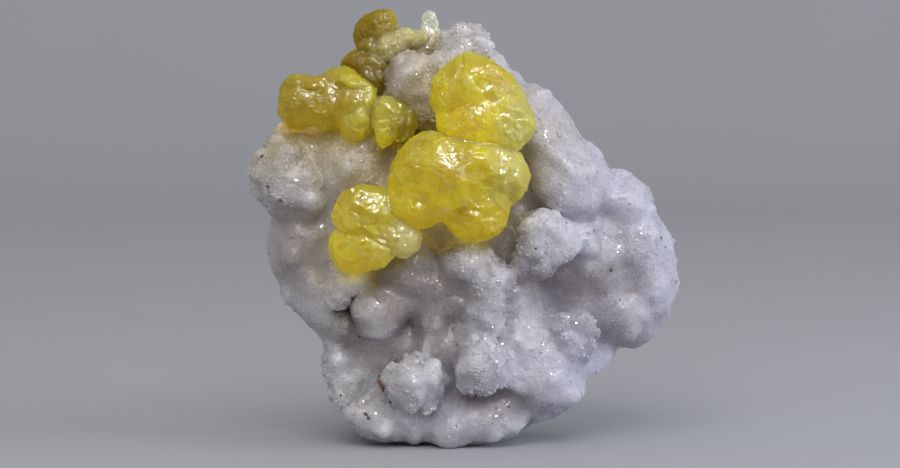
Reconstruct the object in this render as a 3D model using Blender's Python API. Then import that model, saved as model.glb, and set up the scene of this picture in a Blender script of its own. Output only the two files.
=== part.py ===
"""Brucite crystals on a white matrix: a loose hand specimen that stands on its broken foot.

Run it with blender --background --python part.py, or from Blender's text editor.
The front faces -Y, +Z is up, and the origin is in the middle of the foot, on the surface it stands on.
Lumps and crystals are placed in millimetres and become metres when their meshes are made.
"""

import math
import random
from collections import namedtuple

import bmesh
import bpy
from mathutils import Euler, Matrix, Vector, noise

# Driving dimensions, in millimetres. The masses below fill this envelope.
SPECIMEN_WIDTH = 65.0
FOOT_LEVEL = 0.0  # the broken foot is one plane at this height
SOCKET_GAP = 0.3  # clearance between a crystal and the socket it grew in

# How finely each solid is fused and how many triangles it keeps.
MATRIX_VOXEL = 0.8
CRYSTAL_VOXEL = 0.35
MATRIX_TRIANGLES = 5600
BALL_DETAIL = 4  # subdivisions of the ball that every lump starts from

MM = 0.001

# A lump is an ellipsoid: its centre, its half sizes along x, y and z, and its lean about Y in degrees.
Lump = namedtuple("Lump", "centre half lean", defaults=(0,))

# The rock breaks off at the back along these planes: a point on each, and the way it faces.
BREAKS = (
    ((0, 14.5, 30), (0.05, 1, 0.08)),  # back
    ((-20, 9, 34), (-0.75, 0.8, 0.15)),  # back left
    ((24, 10.5, 28), (0.6, 0.8, -0.15)),  # back right
    ((2, 13.4, 6), (0.1, 0.8, -0.5)),  # back, under
    ((4, 10.5, 55), (0.15, 0.8, 0.55)),  # back of the crown
)

# The broken rock behind the crust. Its masses overlap deeply.
CORE = (
    Lump((0, 6, 30), (23, 11.5, 23)),  # heart
    Lump((-1.4, 3, 7.4), (16, 11, 10)),  # bottom
    Lump((-10, 3, 14), (9.5, 9, 10)),  # lower left
    Lump((-13, 5, 32), (14.6, 11, 15)),  # left
    Lump((19.4, 5, 26), (14.4, 11.5, 14.6), -6),  # right flank
    Lump((11.6, 3, 9), (9, 9.5, 7), 10),  # lower right
    Lump((12.4, 5, 42), (7.6, 10, 12), -43),  # upper right
    Lump((0.4, 5, 52), (7.8, 8.5, 8)),  # crown
    Lump((-12.4, 4.6, 47.4), (8, 8, 7.4), -14),  # saddle behind the left and top groups
    Lump((-7.4, 5.6, 57.2), (4.2, 4, 4.2)),  # ridge between the saddle and the crown
)

# The smooth rounded part of the crust, from the top down.
SMOOTH_CRUST = (
    Lump((6, 2, 56), (3, 4.5, 4.2), -20),  # grey knob on the crown
    Lump((8.8, 1, 54.2), (1.4, 2.8, 2.4), -10),  # small tooth on the skyline
    Lump((12.8, -2, 46.8), (5.4, 7.5, 8.4), -42),  # upper right shoulder
    Lump((17.6, -2.4, 39.8), (6.2, 8, 6.4), -40),  # lower end of the shoulder
    Lump((24.8, 1, 36), (4.6, 7, 4.8), -20),  # corner of the right rim
    Lump((28.4, 2, 27.6), (5, 8.5, 8.4), -12),  # right rim
    Lump((27, 1.6, 19.4), (5, 8, 6), 38),  # lower right rim
    Lump((-15, -0.4, 41), (8, 6.6, 7)),  # flat under the left group
    Lump((-22.8, 0.8, 43.2), (5.2, 6.4, 4.6)),  # ledge under its outer end
    Lump((-23, 0, 28), (5, 6.5, 5.4)),  # left middle lump
    Lump((-20.6, -0.4, 22.8), (4.2, 6, 5), -22),  # its lower end
    Lump((-10.6, -6.4, 20.6), (3.8, 4.2, 4.2)),  # round lump in the hollow
    Lump((-6, -5.6, 26), (5, 3.6, 5.4)),  # slab under the lower left crystals
    Lump((-1.4, -5.2, 23), (5.6, 3.8, 5.4)),  # smooth slab in the middle
    Lump((-3.4, -6.2, 16.4), (2.4, 3.6, 5.4), 8),  # upright ridge
    Lump((11.6, -5.4, 12.4), (7.2, 5, 6.4)),  # smooth block, lower right
    Lump((15.8, -2, 8.4), (4, 6.4, 3.2), 10),  # corner of the block
    Lump((-9, -5.4, 3.4), (6, 5, 3.8), 8),  # sill of the foot, left
    Lump((2.8, -6, 3.6), (8.6, 4.8, 3.8), -6),  # sill of the foot, right
    Lump((-6.2, 2.6, 60), (3.4, 2.2, 2.4), -4),  # arm under the clear knob
    Lump((-3.2, 2.4, 59), (2.2, 2.4, 3.2)),  # its root
)

# Lumps whose edges are set with small knobs.
KNOBBY_CRUST = (
    Lump((1.4, 0, 57), (4.2, 5, 5.4), 16),  # crown knob
    Lump((-5.6, -2.6, 52.8), (4, 5, 5.6)),  # pinkish lump, left half
    Lump((-2, -3, 52.4), (3.2, 5, 6), 12),  # pinkish lump, right half
    Lump((-24, -1.4, 39.6), (6, 7, 6.4)),  # left shoulder
    Lump((-28.6, 0, 39.8), (1.9, 4, 3)),  # point of the left shoulder
    Lump((-16.2, -4.8, 23.4), (2, 3, 2.2)),  # nodule under the left middle lump
    Lump((-14.4, -4.6, 25.8), (2.6, 3.2, 2.4)),  # nodule beside it
    Lump((1.6, -8.6, 28), (2.7, 3.6, 2.4)),  # ridge knob, top
    Lump((6.2, -8.4, 24.4), (2.8, 3.8, 3)),  # ridge knob, middle
    Lump((5.8, -7, 20), (2.8, 3.6, 3.4)),  # ridge knob, bottom
    Lump((14, -7.6, 30.2), (4.2, 4.4, 3.8)),  # bright nodule below the shoulder
    Lump((11.2, -5.4, 27.2), (3, 3.6, 2.8)),  # its shadowed neighbour
    Lump((18.6, -3.4, 30.6), (4, 4.8, 2.8)),  # granular bridge to the rim
    Lump((18.2, -5.6, 16), (3, 3.8, 3.4)),  # crested lump, lower right
    Lump((4.2, -8.6, 11.8), (3.8, 4.4, 4.2)),  # bright round lump, lower middle
    Lump((-5.6, -8, 9.4), (4.5, 4.6, 4.3)),  # bright round lump, lower left
    Lump((-17, -2.6, 12), (2.4, 4.6, 3.2)),  # edge nodule
    Lump((-14.6, -3.6, 8.4), (2.8, 4.4, 2.6)),  # edge nodule under it
    Lump((-15.6, -2, 17.2), (3, 5, 2.8)),  # edge above it
)
KNOBS_ON_A_LUMP = 7
KNOB_SHARE = 0.34  # a knob's half size over its lump's

# Brucite grows as thick rounded plates with flat faces. Each group is a few of them grown together.
MAIN_CLUSTER = (
    Lump((2.6, -10.2, 53), (6.2, 4.6, 5.9), -25),  # upper plate
    Lump((5.2, -10, 51), (5.6, 4.4, 5.2), -35),  # its right side
    Lump((8.5, -10.4, 47.6), (4.2, 3.4, 4.4)),  # pale lobe
    Lump((-2, -11.8, 41), (7.4, 5.4, 6.6)),  # centre
    Lump((2.6, -11.8, 42), (6.4, 4.8, 4.9), -20),  # ridge of the centre
    Lump((7.8, -10.6, 40), (4, 3.8, 4.2)),  # pale right lobe
    Lump((3.8, -11.2, 35.6), (5, 4.2, 4.8), -35),  # lower lobe
    Lump((-5, -11.6, 37.2), (4.8, 4.4, 3.9)),  # lower left bulge
    Lump((-12.2, -11, 35.4), (5.6, 4, 4.4)),  # lower left plate
    Lump((-13.4, -10.6, 30.4), (4.7, 3.6, 4.2)),  # its lower lobe
    Lump((-8, -11, 32.2), (3.9, 3.4, 3.2), 25),  # its pale right lobe
)
LEFT_CLUSTER = (
    Lump((-22.6, -4.4, 51.4), (3.5, 4, 4.4), 10),
    Lump((-18.8, -4.6, 51.2), (4.8, 4.2, 4.4)),
    Lump((-17, -3.6, 54.4), (3.8, 3.4, 2.3), -8),  # stacked plates along the top
    Lump((-14.8, -5.6, 51.6), (3.4, 3.6, 3.4)),
    Lump((-14.4, -6, 48.2), (2.7, 3, 2.8)),
    Lump((-11.9, -5.8, 49.8), (1.8, 2, 2.2)),  # neck of the bright pendant
    Lump((-9.3, -7, 48.8), (2.5, 2.4, 3.3), 12),  # pendant
    Lump((-7.2, -5.6, 48.2), (2, 2.2, 3.1)),  # its pale back
)
TOP_CLUSTER = (
    Lump((-11.2, 1.6, 61.2), (3.1, 2.3, 4), -12),  # upright plate
    Lump((-9.4, 1.2, 58.4), (2.8, 2.6, 2.4)),  # cream foot
    Lump((-14, 1.4, 56.6), (2.9, 2.8, 2.9), 24),  # amber stem
    Lump((-11.8, 1, 54), (3, 3.2, 3.6)),
)
CLEAR_KNOB = (
    Lump((-3.3, 2, 62.6), (1.3, 1.3, 2), 6),
)

CHIPS_AT_A_BREAK = 3  # flat chips that each mass loses at each of those planes
CHIP_STEP = (-1.6, 1.4)  # how far, in millimetres, a chip's face lies past the plane
CHIP_TILT = 0.34  # how much it leans from the plane

FACES_ON_A_PLATE = 10
FACE_DEPTH = (0.80, 0.93)  # how far out a flat face lies, as a share of the plate's half size

# Colours are linear RGB.
WHITE_ROCK = (0.74, 0.72, 0.74, 1)
LEMON = (0.72, 0.58, 0.03, 1)
OLIVE_YELLOW = (0.55, 0.46, 0.04, 1)
CLEAR = (0.80, 0.82, 0.70, 1)


def clear_scene():
    """Removes what the scene starts with."""
    for obj in list(bpy.data.objects):
        bpy.data.objects.remove(obj)


def material(name, colour, roughness):
    """A plain non-metallic finish."""
    made = bpy.data.materials.new(name)
    made.use_nodes = True
    shader = made.node_tree.nodes["Principled BSDF"]
    shader.inputs["Base Color"].default_value = colour
    shader.inputs["Roughness"].default_value = roughness
    shader.inputs["Metallic"].default_value = 0
    return made


def place(lump, grow=0.0):
    """The matrix that carries a unit ball to the lump's place, in metres."""
    half = [(size + grow) * MM for size in lump.half]
    turn = Euler((0, math.radians(lump.lean), 0)).to_matrix().to_4x4()
    return Matrix.Translation(Vector(lump.centre) * MM) @ turn @ Matrix.Diagonal((*half, 1))


def rugged_ball(seed, ruggedness, ripple):
    """A unit ball whose radius swells and dips by a share ruggedness, over about 1 / ripple of its radius."""
    bm = bmesh.new()
    bmesh.ops.create_icosphere(bm, subdivisions=BALL_DETAIL, radius=1)
    offset = Vector((3.7, 1.3, 2.1)) * seed
    for vert in bm.verts:
        vert.co *= 1 + ruggedness * noise.noise(vert.co * ripple + offset)
    return bm


def slice_off(bm, point, way):
    """Cuts away what lies beyond a plane and closes the cut with a flat face."""
    whole = [*bm.verts, *bm.edges, *bm.faces]
    cut = bmesh.ops.bisect_plane(bm, geom=whole, plane_co=point, plane_no=way, clear_outer=True)
    rim = [item for item in cut["geom_cut"] if isinstance(item, bmesh.types.BMEdge)]
    if rim:
        bmesh.ops.contextual_create(bm, geom=rim)


def move_into(whole, bm):
    """Adds a lump's mesh to the whole, and frees it."""
    mesh = bpy.data.meshes.new("lump")
    bm.to_mesh(mesh)
    bm.free()
    whole.from_mesh(mesh)
    bpy.data.meshes.remove(mesh)


def build(name, bm, finish):
    """Makes an object of a finished mesh, and frees it."""
    mesh = bpy.data.meshes.new(name)
    bm.to_mesh(mesh)
    bm.free()
    mesh.materials.append(finish)
    obj = bpy.data.objects.new(name, mesh)
    bpy.context.scene.collection.objects.link(obj)
    return obj


def fuse(obj, voxel, triangles, smooth):
    """Fuses overlapping shapes into one skin and thins it to about that many triangles."""
    remesh = obj.modifiers.new("fuse", "REMESH")
    remesh.mode = "VOXEL"
    remesh.voxel_size = voxel * MM
    remesh.use_smooth_shade = smooth
    graph = bpy.context.evaluated_depsgraph_get()
    fused = obj.evaluated_get(graph).to_mesh()
    thin = obj.modifiers.new("thin", "DECIMATE")
    thin.ratio = triangles / (2 * len(fused.polygons))


def knobs_on(lump, draw):
    """Small lumps on the front half of a lump, a golden angle apart."""
    golden = math.pi * (3 - math.sqrt(5))
    centre, half = Vector(lump.centre), Vector(lump.half)
    start = draw.uniform(0, 2 * math.pi)
    for step in range(KNOBS_ON_A_LUMP):
        forward = 1 - (step + 0.7) / KNOBS_ON_A_LUMP
        across = math.sqrt(1 - forward**2)
        angle = start + step * golden
        way = Vector((across * math.cos(angle), -forward, across * math.sin(angle)))
        share = KNOB_SHARE * draw.uniform(0.75, 1.25)
        yield Lump(centre + way * half * (1 - share * 0.5), half * share, draw.uniform(-40, 40))


def make_matrix(finish):
    """The white rock: broken flat at the back, lumpy and knobby at the front."""
    draw = random.Random(11)
    whole = bmesh.new()
    for seed, lump in enumerate(CORE):
        rock = rugged_ball(seed, ruggedness=0.08, ripple=1.6)
        rock.transform(place(lump))
        for point, way in BREAKS * CHIPS_AT_A_BREAK:
            tilt = Vector([draw.uniform(-CHIP_TILT, CHIP_TILT) for _ in range(3)])
            facing = (Vector(way) + tilt).normalized()
            slice_off(rock, (Vector(point) + facing * draw.uniform(*CHIP_STEP)) * MM, facing)
        move_into(whole, rock)
    for seed, lump in enumerate(SMOOTH_CRUST + KNOBBY_CRUST):
        shell = rugged_ball(seed + 20, ruggedness=0.12, ripple=2.0)
        shell.transform(place(lump))
        move_into(whole, shell)
    for lump in KNOBBY_CRUST:
        for knob in knobs_on(lump, draw):
            small = rugged_ball(draw.randrange(99), ruggedness=0.10, ripple=1.5)
            small.transform(place(knob))
            move_into(whole, small)
    matrix = build("white_matrix", whole, finish)
    fuse(matrix, MATRIX_VOXEL, MATRIX_TRIANGLES, smooth=True)
    return matrix


def make_crystals(name, lumps, seed, finish, triangles, grow=0.0):
    """Rounded plates with flat faces sliced off them, grown together."""
    draw = random.Random(seed)
    whole = bmesh.new()
    for lump in lumps:
        plate = rugged_ball(draw.randrange(99), ruggedness=0.06, ripple=2.0)
        for _ in range(FACES_ON_A_PLATE):
            way = Vector((draw.gauss(0, 1), draw.gauss(0, 1), draw.gauss(0, 1))).normalized()
            slice_off(plate, way * draw.uniform(*FACE_DEPTH), way)
        plate.transform(place(lump, grow))
        move_into(whole, plate)
    obj = build(name, whole, finish)
    fuse(obj, CRYSTAL_VOXEL, triangles, smooth=False)
    return obj


def as_cutter(obj):
    """Keeps an object for cutting only."""
    obj.hide_render = True
    obj.display_type = "WIRE"
    return obj


def cut_from(obj, cutter):
    """Takes the cutter's space out of the object."""
    cut = obj.modifiers.new("cut_" + cutter.name, "BOOLEAN")
    cut.operation = "DIFFERENCE"
    cut.object = cutter


def make_floor_cutter():
    """Everything below the foot."""
    bm = bmesh.new()
    bmesh.ops.create_cube(bm, size=1)
    side = 2 * SPECIMEN_WIDTH * MM
    middle = Vector((0, 0, FOOT_LEVEL * MM - side / 2))
    bmesh.ops.transform(bm, matrix=Matrix.Translation(middle) @ Matrix.Scale(side, 4), verts=bm.verts)
    return as_cutter(build("floor_cutter", bm, None))


def main():
    clear_scene()
    rock = material("white_rock", WHITE_ROCK, 0.75)
    lemon = material("lemon_brucite", LEMON, 0.25)
    olive = material("olive_brucite", OLIVE_YELLOW, 0.3)
    clear = material("clear_crystal", CLEAR, 0.15)

    matrix = make_matrix(rock)
    cut_from(matrix, make_floor_cutter())

    crystals = (
        ("brucite_main_cluster", MAIN_CLUSTER, 3, lemon, 1700),
        ("brucite_left_cluster", LEFT_CLUSTER, 5, lemon, 900),
        ("brucite_top_cluster", TOP_CLUSTER, 9, olive, 500),
        ("clear_knob", CLEAR_KNOB, 13, clear, 120),
    )
    for name, lumps, seed, finish, triangles in crystals:
        make_crystals(name, lumps, seed, finish, triangles)
        socket = make_crystals(name + "_socket", lumps, seed, finish, triangles // 2, grow=SOCKET_GAP)
        cut_from(matrix, as_cutter(socket))


main()
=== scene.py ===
"""Yellow brucite crystals on white rock: the looks of a hand specimen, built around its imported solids.

Shapes are worked out in millimetres and become metres as they enter a mesh. The front faces -Y, +Z is up,
and the origin is on the broken foot that the specimen stands on.
"""

import math
import random
from collections import namedtuple
from itertools import combinations

import bpy
import numpy as np
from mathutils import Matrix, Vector


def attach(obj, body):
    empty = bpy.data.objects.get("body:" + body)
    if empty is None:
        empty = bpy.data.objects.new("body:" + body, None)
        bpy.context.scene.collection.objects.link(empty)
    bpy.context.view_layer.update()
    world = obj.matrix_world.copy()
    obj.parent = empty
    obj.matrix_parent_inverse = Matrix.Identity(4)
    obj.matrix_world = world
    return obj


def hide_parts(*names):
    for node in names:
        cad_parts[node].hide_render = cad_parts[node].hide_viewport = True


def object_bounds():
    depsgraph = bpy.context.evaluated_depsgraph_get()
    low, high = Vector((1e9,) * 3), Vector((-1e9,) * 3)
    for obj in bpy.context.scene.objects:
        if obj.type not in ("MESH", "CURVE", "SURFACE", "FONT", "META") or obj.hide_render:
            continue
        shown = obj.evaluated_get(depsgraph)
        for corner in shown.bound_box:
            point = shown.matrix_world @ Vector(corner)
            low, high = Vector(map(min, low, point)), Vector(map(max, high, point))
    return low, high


bl_info = {
    "name": "Brucite specimen",
    "version": (1, 0, 0),
    "blender": (4, 5, 0),
    "location": "View3D > Sidebar > Specimen",
    "description": "Builds rounded yellow brucite crystals on a lumpy white rock",
    "category": "Add Mesh",
}

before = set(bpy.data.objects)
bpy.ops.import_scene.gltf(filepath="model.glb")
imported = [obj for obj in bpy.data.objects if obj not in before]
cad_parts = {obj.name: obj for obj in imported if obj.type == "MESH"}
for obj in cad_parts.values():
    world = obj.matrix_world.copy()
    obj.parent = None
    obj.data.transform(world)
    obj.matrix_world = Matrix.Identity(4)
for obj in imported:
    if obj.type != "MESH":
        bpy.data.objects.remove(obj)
SOLID_BOX = [list(corner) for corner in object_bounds()]
MM = 0.001

# A lump is a ball stretched to an ellipsoid: its centre, its half sizes along x, y and z, and its lean
# about Y in degrees.
Lump = namedtuple("Lump", "centre half lean", defaults=(0,))

# A plate is a lump of crystal. pale, cream and amber say how far it goes from lemon to each of those
# colours.
Plate = namedtuple("Plate", "centre half lean pale cream amber", defaults=(0, 0, 0, 0))

# The rock breaks off at the back along these planes: a point on each, and the way it faces.
BREAKS = (
    ((0, 14.5, 30), (0.05, 1, 0.08)),  # back
    ((-20, 9, 34), (-0.75, 0.8, 0.15)),  # back left
    ((24, 10.5, 28), (0.6, 0.8, -0.15)),  # back right
    ((2, 13.4, 6), (0.1, 0.8, -0.5)),  # back, under
    ((4, 10.5, 55), (0.15, 0.8, 0.55)),  # back of the crown
)
CHIPS_AT_A_BREAK = 3
CHIP_STEP = (-1.6, 1.4)  # how far a chip's face lies past its plane
CHIP_TILT = 0.34  # how much it leans from the plane

# The broken rock behind the crust. Its masses overlap deeply.
CORE = (
    Lump((0, 6, 30), (23, 11.5, 23)),  # heart
    Lump((-1.4, 3, 7.4), (16, 11, 10)),  # bottom
    Lump((-10, 3, 14), (9.5, 9, 10)),  # lower left
    Lump((-13, 5, 32), (14.6, 11, 15)),  # left
    Lump((19.4, 5, 26), (14.4, 11.5, 14.6), -6),  # right flank
    Lump((11.6, 3, 9.2), (9, 9.5, 7), -10),  # lower right
    Lump((12.1, 5, 41.7), (7.3, 10, 11.8), -43),  # upper right
    Lump((0.1, 5, 51.8), (7.4, 8.5, 7.8)),  # crown
    Lump((-12.4, 4.6, 47.4), (8, 8, 7.4), -14),  # saddle behind the left and top groups
    Lump((-7.4, 5.6, 57.2), (4.2, 4, 4.2)),  # ridge between the saddle and the crown
)

# The smooth rounded part of the crust, from the top down.
SMOOTH_CRUST = (
    Lump((5.2, 2, 55.6), (2.7, 4.5, 3.8), -20),  # grey knob on the crown
    Lump((8.4, 1, 53.6), (1.3, 2.8, 2.2), -10),  # small tooth on the skyline
    Lump((12.6, -2, 47.1), (5, 7.5, 8.3), -42),  # upper right shoulder
    Lump((17.2, -2.4, 39.4), (6, 8, 6.3), -40),  # lower end of the shoulder
    Lump((25.8, 1, 35.2), (4.7, 7, 4.7), 10),  # corner of the right rim
    Lump((28.6, 2, 27.4), (5.1, 8.5, 8.4), -12),  # right rim
    Lump((27, 1.6, 19.8), (5, 8, 5.8), 38),  # lower right rim
    Lump((18.8, 0.4, 12.6), (4.8, 6, 4), -35),  # between the rim and the block
    Lump((-15, -0.4, 41), (8, 6.6, 7)),  # flat under the left group
    Lump((-22.8, 0.8, 43.2), (5.2, 6.4, 4.6)),  # ledge under its outer end
    Lump((-22.6, 0, 29.2), (5.3, 6.5, 6)),  # left middle lump
    Lump((-20.2, -0.4, 22.9), (4.1, 6, 5), -22),  # its lower end
    Lump((-19, -0.6, 19), (4, 5, 2.6), 50),  # edge below it
    Lump((-10.9, -6.4, 20.4), (3.3, 4.4, 4)),  # round lump in the hollow
    Lump((-6, -5.6, 26), (5, 3.6, 5.4)),  # slab under the lower left crystals
    Lump((-1.4, -5.2, 23), (5.6, 3.8, 5.4)),  # smooth slab in the middle
    Lump((-3.4, -6.2, 16.4), (2.4, 3.6, 5.4), 8),  # upright ridge
    Lump((11.6, -5.4, 12.4), (7.2, 5, 6.4)),  # smooth block, lower right
    Lump((15.8, -2, 8.4), (4, 6.4, 3.2), 10),  # corner of the block
    Lump((-9.6, -5.2, 3.5), (6.4, 5, 3.8), 8),  # sill of the foot, left
    Lump((2.8, -6, 3.6), (8.6, 4.8, 3.8), -6),  # sill of the foot, right
    Lump((-0.4, -5.4, 14.8), (2.6, 3.6, 3.6)),  # between the upright ridge and the round lump
    Lump((9.6, -4, 21.4), (3.6, 3.8, 4.6)),  # between the ridge and the bowl
)
ARM = (
    Lump((-6.2, 2.7, 59.8), (3.4, 1.9, 1.5), -4),  # arm under the clear knob
    Lump((-3.2, 2.5, 58.8), (2.2, 2.2, 2.6)),  # its root
)

# Lumps whose edges are set with small knobs.
KNOBBY_CRUST = (
    Lump((1.2, 0, 57.2), (3.9, 5, 5.5), 16),  # crown knob
    Lump((-5.6, -2.6, 52.8), (4, 5, 5.6)),  # pinkish lump, left half
    Lump((-2, -3, 52.4), (3.2, 5, 6), 12),  # pinkish lump, right half
    Lump((-23.8, -1.4, 39.8), (5.8, 7, 6.2)),  # left shoulder
    Lump((-28.1, 0, 40.2), (1.8, 4, 2.6)),  # point of the left shoulder
    Lump((-16.6, -5.8, 22.8), (1.9, 3, 2.2)),  # nodule under the left middle lump
    Lump((-15, -5.4, 25.4), (2.8, 3.2, 2.6)),  # nodule beside it
    Lump((2.6, -8.2, 28.2), (3.6, 3.6, 2.7), 10),  # ridge, top
    Lump((5.6, -8.4, 24.6), (3.5, 3.8, 3.8)),  # ridge, middle
    Lump((4.8, -7.2, 20.2), (3.1, 3.8, 3.6)),  # ridge, bottom
    Lump((3.4, -6.4, 17), (2.9, 3.8, 2.8)),  # where it runs into the round lump
    Lump((12.8, -7.4, 31.4), (3.5, 4.3, 3.5), 20),  # bright nodule below the shoulder
    Lump((15.6, -7, 30.4), (3, 4, 3.1), -10),  # its right half
    Lump((13.6, -7.6, 28.2), (2.1, 3.4, 2.4)),  # its lower point
    Lump((11.2, -5.4, 27.2), (3, 3.6, 2.8)),  # its shadowed neighbour
    Lump((18.6, -3.4, 30.6), (4, 4.8, 2.8)),  # granular bridge to the rim
    Lump((18.2, -5.6, 16), (3, 3.8, 3.4)),  # crested lump, lower right
    Lump((16.6, -7.8, 18.6), (1.5, 1.6, 1.2), 10),  # its crest, from left to right
    Lump((19, -7.8, 18.8), (1.6, 1.6, 1.1), -10),
    Lump((21, -6.8, 16.8), (1.2, 1.7, 1.8), -20),
    Lump((4.6, -9.3, 12.4), (3.9, 4.4, 4.6)),  # bright round lump, lower middle
    Lump((-5.4, -9.2, 9.9), (4.6, 4.6, 4.6)),  # bright round lump, lower left
    Lump((-17, -2.6, 12), (2.4, 4.6, 3.2)),  # edge nodule
    Lump((-14.9, -3.6, 7.8), (2.9, 4.4, 3.1)),  # edge nodule under it
    Lump((-15.6, -2, 17.2), (3, 5, 2.8)),  # edge above it
)

# Small knobs on the lumps: how many on each, their size as a share of the lump's, how far forward they may
# sit, and how deep they sink as a share of their own size.
KNOBS = (
    (KNOBBY_CRUST, 22, 0.17, (-0.2, 0.6), 0.3),
    (KNOBBY_CRUST, 6, 0.3, (0.3, 1.0), 0.7),
    (SMOOTH_CRUST, 7, 0.3, (0.0, 0.95), 0.7),
)

# Points along each ball from pole to pole and round it, before the balls are fused.
MASS_GRID = (60, 120)
CRUST_GRID = (40, 80)
KNOB_GRID = (14, 24)

SETTLING_ROUNDS = 4  # how often a fused skin is drawn to its surface and smoothed a little
SETTLING_SHARE = 0.4  # how far each point then goes towards the mean of its neighbours

RUST_SPOT = (-10.5, 9.6)  # x and z of the one iron stain, between two lumps at the lower left
RUST_REACH = 1.15

# Black specks on the front: (x, z, half size).
SPECKS = (
    (-12.9, 5.5, 0.34), (-12.7, 4.9, 0.28), (-10.6, 9.0, 0.34), (0.8, 4.0, 0.22), (-28.4, 43.6, 0.30),
    (-27.6, 38.8, 0.28), (-6.0, 45.2, 0.34), (-11.2, 10.9, 0.20), (24.0, 26.4, 0.26), (25.2, 22.4, 0.20),
    (31.6, 31.0, 0.28), (32.2, 29.6, 0.20), (26.2, 36.6, 0.20), (12.2, 30.6, 0.22), (-25.4, 36.4, 0.26),
    (8.6, 6.4, 0.20), (17.0, 34.2, 0.18), (21.4, 32.4, 0.18), (-16.3, 8.1, 0.2), (-15.3, 11.5, 0.18),
)

# Painted shade: where the rock's colour is made darker and browner to stand in for the shade in hollows,
# under lumps and between parts. Round patches, each with how strong it is.
PAINTED_SHADE_PATCHES = (
    (Lump((-14, -2, 18.5), (4.5, 9, 5)), 1.0),  # hollow at the lower left
    (Lump((-11, -4, 13.6), (4.5, 8, 3)), 0.5),  # its lower part
    (Lump((-5.6, -6, 22.6), (9, 8, 6.6)), 0.7),  # slabs under the crystals
    (Lump((-6, -8, 30), (8, 9, 4)), 0.6),
    (Lump((0, -6, 16), (4, 8, 5)), 0.4),
    (Lump((16, -6, 24), (7, 9, 5)), 0.5),  # bowl
    (Lump((24, -4, 27), (6, 8, 7)), 0.35),
    (Lump((-22, -4, 30), (5, 8, 7)), 0.5),  # left middle
    (Lump((-9, -3, 45), (4, 8, 4)), 0.6),  # gap between the left and main groups
    (Lump((6, -6, 7), (6, 6, 4)), 0.55),  # under the bright round lumps
    (Lump((-9, -3, 56), (3, 6, 3)), 0.5),  # beside the stem
    (Lump((26, -3, 18), (6, 8, 5)), 0.3),  # lower right rim
    (Lump((13, -4, 47), (6, 8, 8)), 0.15),  # shoulder
)

# The main group: four crystals, each of one or more plates.
UPPER_CRYSTAL = (
    Plate((2.6, -10.2, 53), (6.2, 4.6, 5.9), -25),  # upper plate
    Plate((5.2, -10, 51), (5.6, 4.4, 5.2), -35, pale=0.2),  # its right side
    Plate((3.4, -11.6, 48.8), (5.6, 3.6, 4.7), -20),  # where it overlaps the centre
    Plate((7.6, -10.6, 48.4), (4.8, 3.8, 4.7), -20, pale=0.7),  # pale lobe
)
CENTRE_CRYSTAL = (
    Plate((-2, -11.8, 41), (7.4, 5.4, 6.6), amber=0.1),  # centre
    Plate((2.6, -11.8, 42), (6.4, 4.8, 4.9), -20),  # ridge of the centre
    Plate((6.6, -11.2, 40.8), (5, 4.2, 4.9), pale=0.5),  # pale right lobe
    Plate((3.8, -11.2, 35.6), (5, 4.2, 4.8), -35, amber=0.2),  # lower lobe
    Plate((-5, -11.6, 37.2), (4.8, 4.4, 3.9), amber=0.1),  # lower left bulge
)
LOWER_CRYSTAL = (
    Plate((-12.2, -11, 35.4), (5.6, 4, 4.4), pale=0.15),  # lower left plate
    Plate((-8, -11, 32.2), (3.9, 3.4, 3.2), 25, pale=0.7, cream=0.45),  # its pale right lobe
)
LOWER_LOBE = (
    Plate((-13.4, -10.6, 30.4), (4.7, 3.6, 4.2), pale=0.1),
    Plate((-10, -10.6, 31), (3.8, 3.4, 2.8), -32, pale=0.35),
)
MAIN_CLUSTER = (UPPER_CRYSTAL, CENTRE_CRYSTAL, LOWER_CRYSTAL, LOWER_LOBE)

# The left group: a log of stacked plates with a bright pendant beside it.
LOG = (
    Plate((-22.6, -4.4, 51.2), (3.5, 4, 4.2), 10, amber=0.75),
    Plate((-18.8, -4.6, 51.2), (4.8, 4.2, 4.3), amber=0.7),
    Plate((-14.8, -5.6, 51.6), (3.4, 3.6, 3.4), amber=0.45),
    Plate((-14.4, -6, 48.2), (2.7, 3, 2.8), pale=0.2, amber=0.3),
)
LOG_PLATES = (
    Plate((-17, -3.6, 54.0), (3.8, 3.4, 2.2), -8, amber=0.4),  # stacked plates along the top
    Plate((-20.6, -5.6, 53.9), (2.6, 2.6, 1.3), -14, amber=0.7),
    Plate((-14.6, -6.6, 54.2), (2.6, 2.2, 1.2), 14, pale=0.1, amber=0.2),
    Plate((-12.9, -7.4, 51.6), (1.7, 1.7, 2.2), 20, pale=0.3),  # shiny knobs at its right end
    Plate((-14.0, -8.2, 49.2), (1.8, 1.4, 1.6), pale=0.3),
)
PENDANT = (
    Plate((-11.9, -5.8, 49.8), (1.8, 2, 2.2), amber=0.6),  # neck
    Plate((-9.3, -7, 50.3), (3, 2.2, 1.9), 6, pale=0.25),  # broad top
    Plate((-9.3, -7.4, 48.4), (2.4, 1.9, 2.2), 10, pale=0.35),
    Plate((-9.6, -7.3, 46.5), (1.4, 1.4, 1.9), 8, pale=0.1),  # point
)
PENDANT_BACK = (
    Plate((-7.2, -5.6, 48.2), (2, 2.2, 3.1), pale=0.1, amber=0.3),
)
LEFT_CLUSTER = (LOG, LOG_PLATES, PENDANT, PENDANT_BACK)

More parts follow.
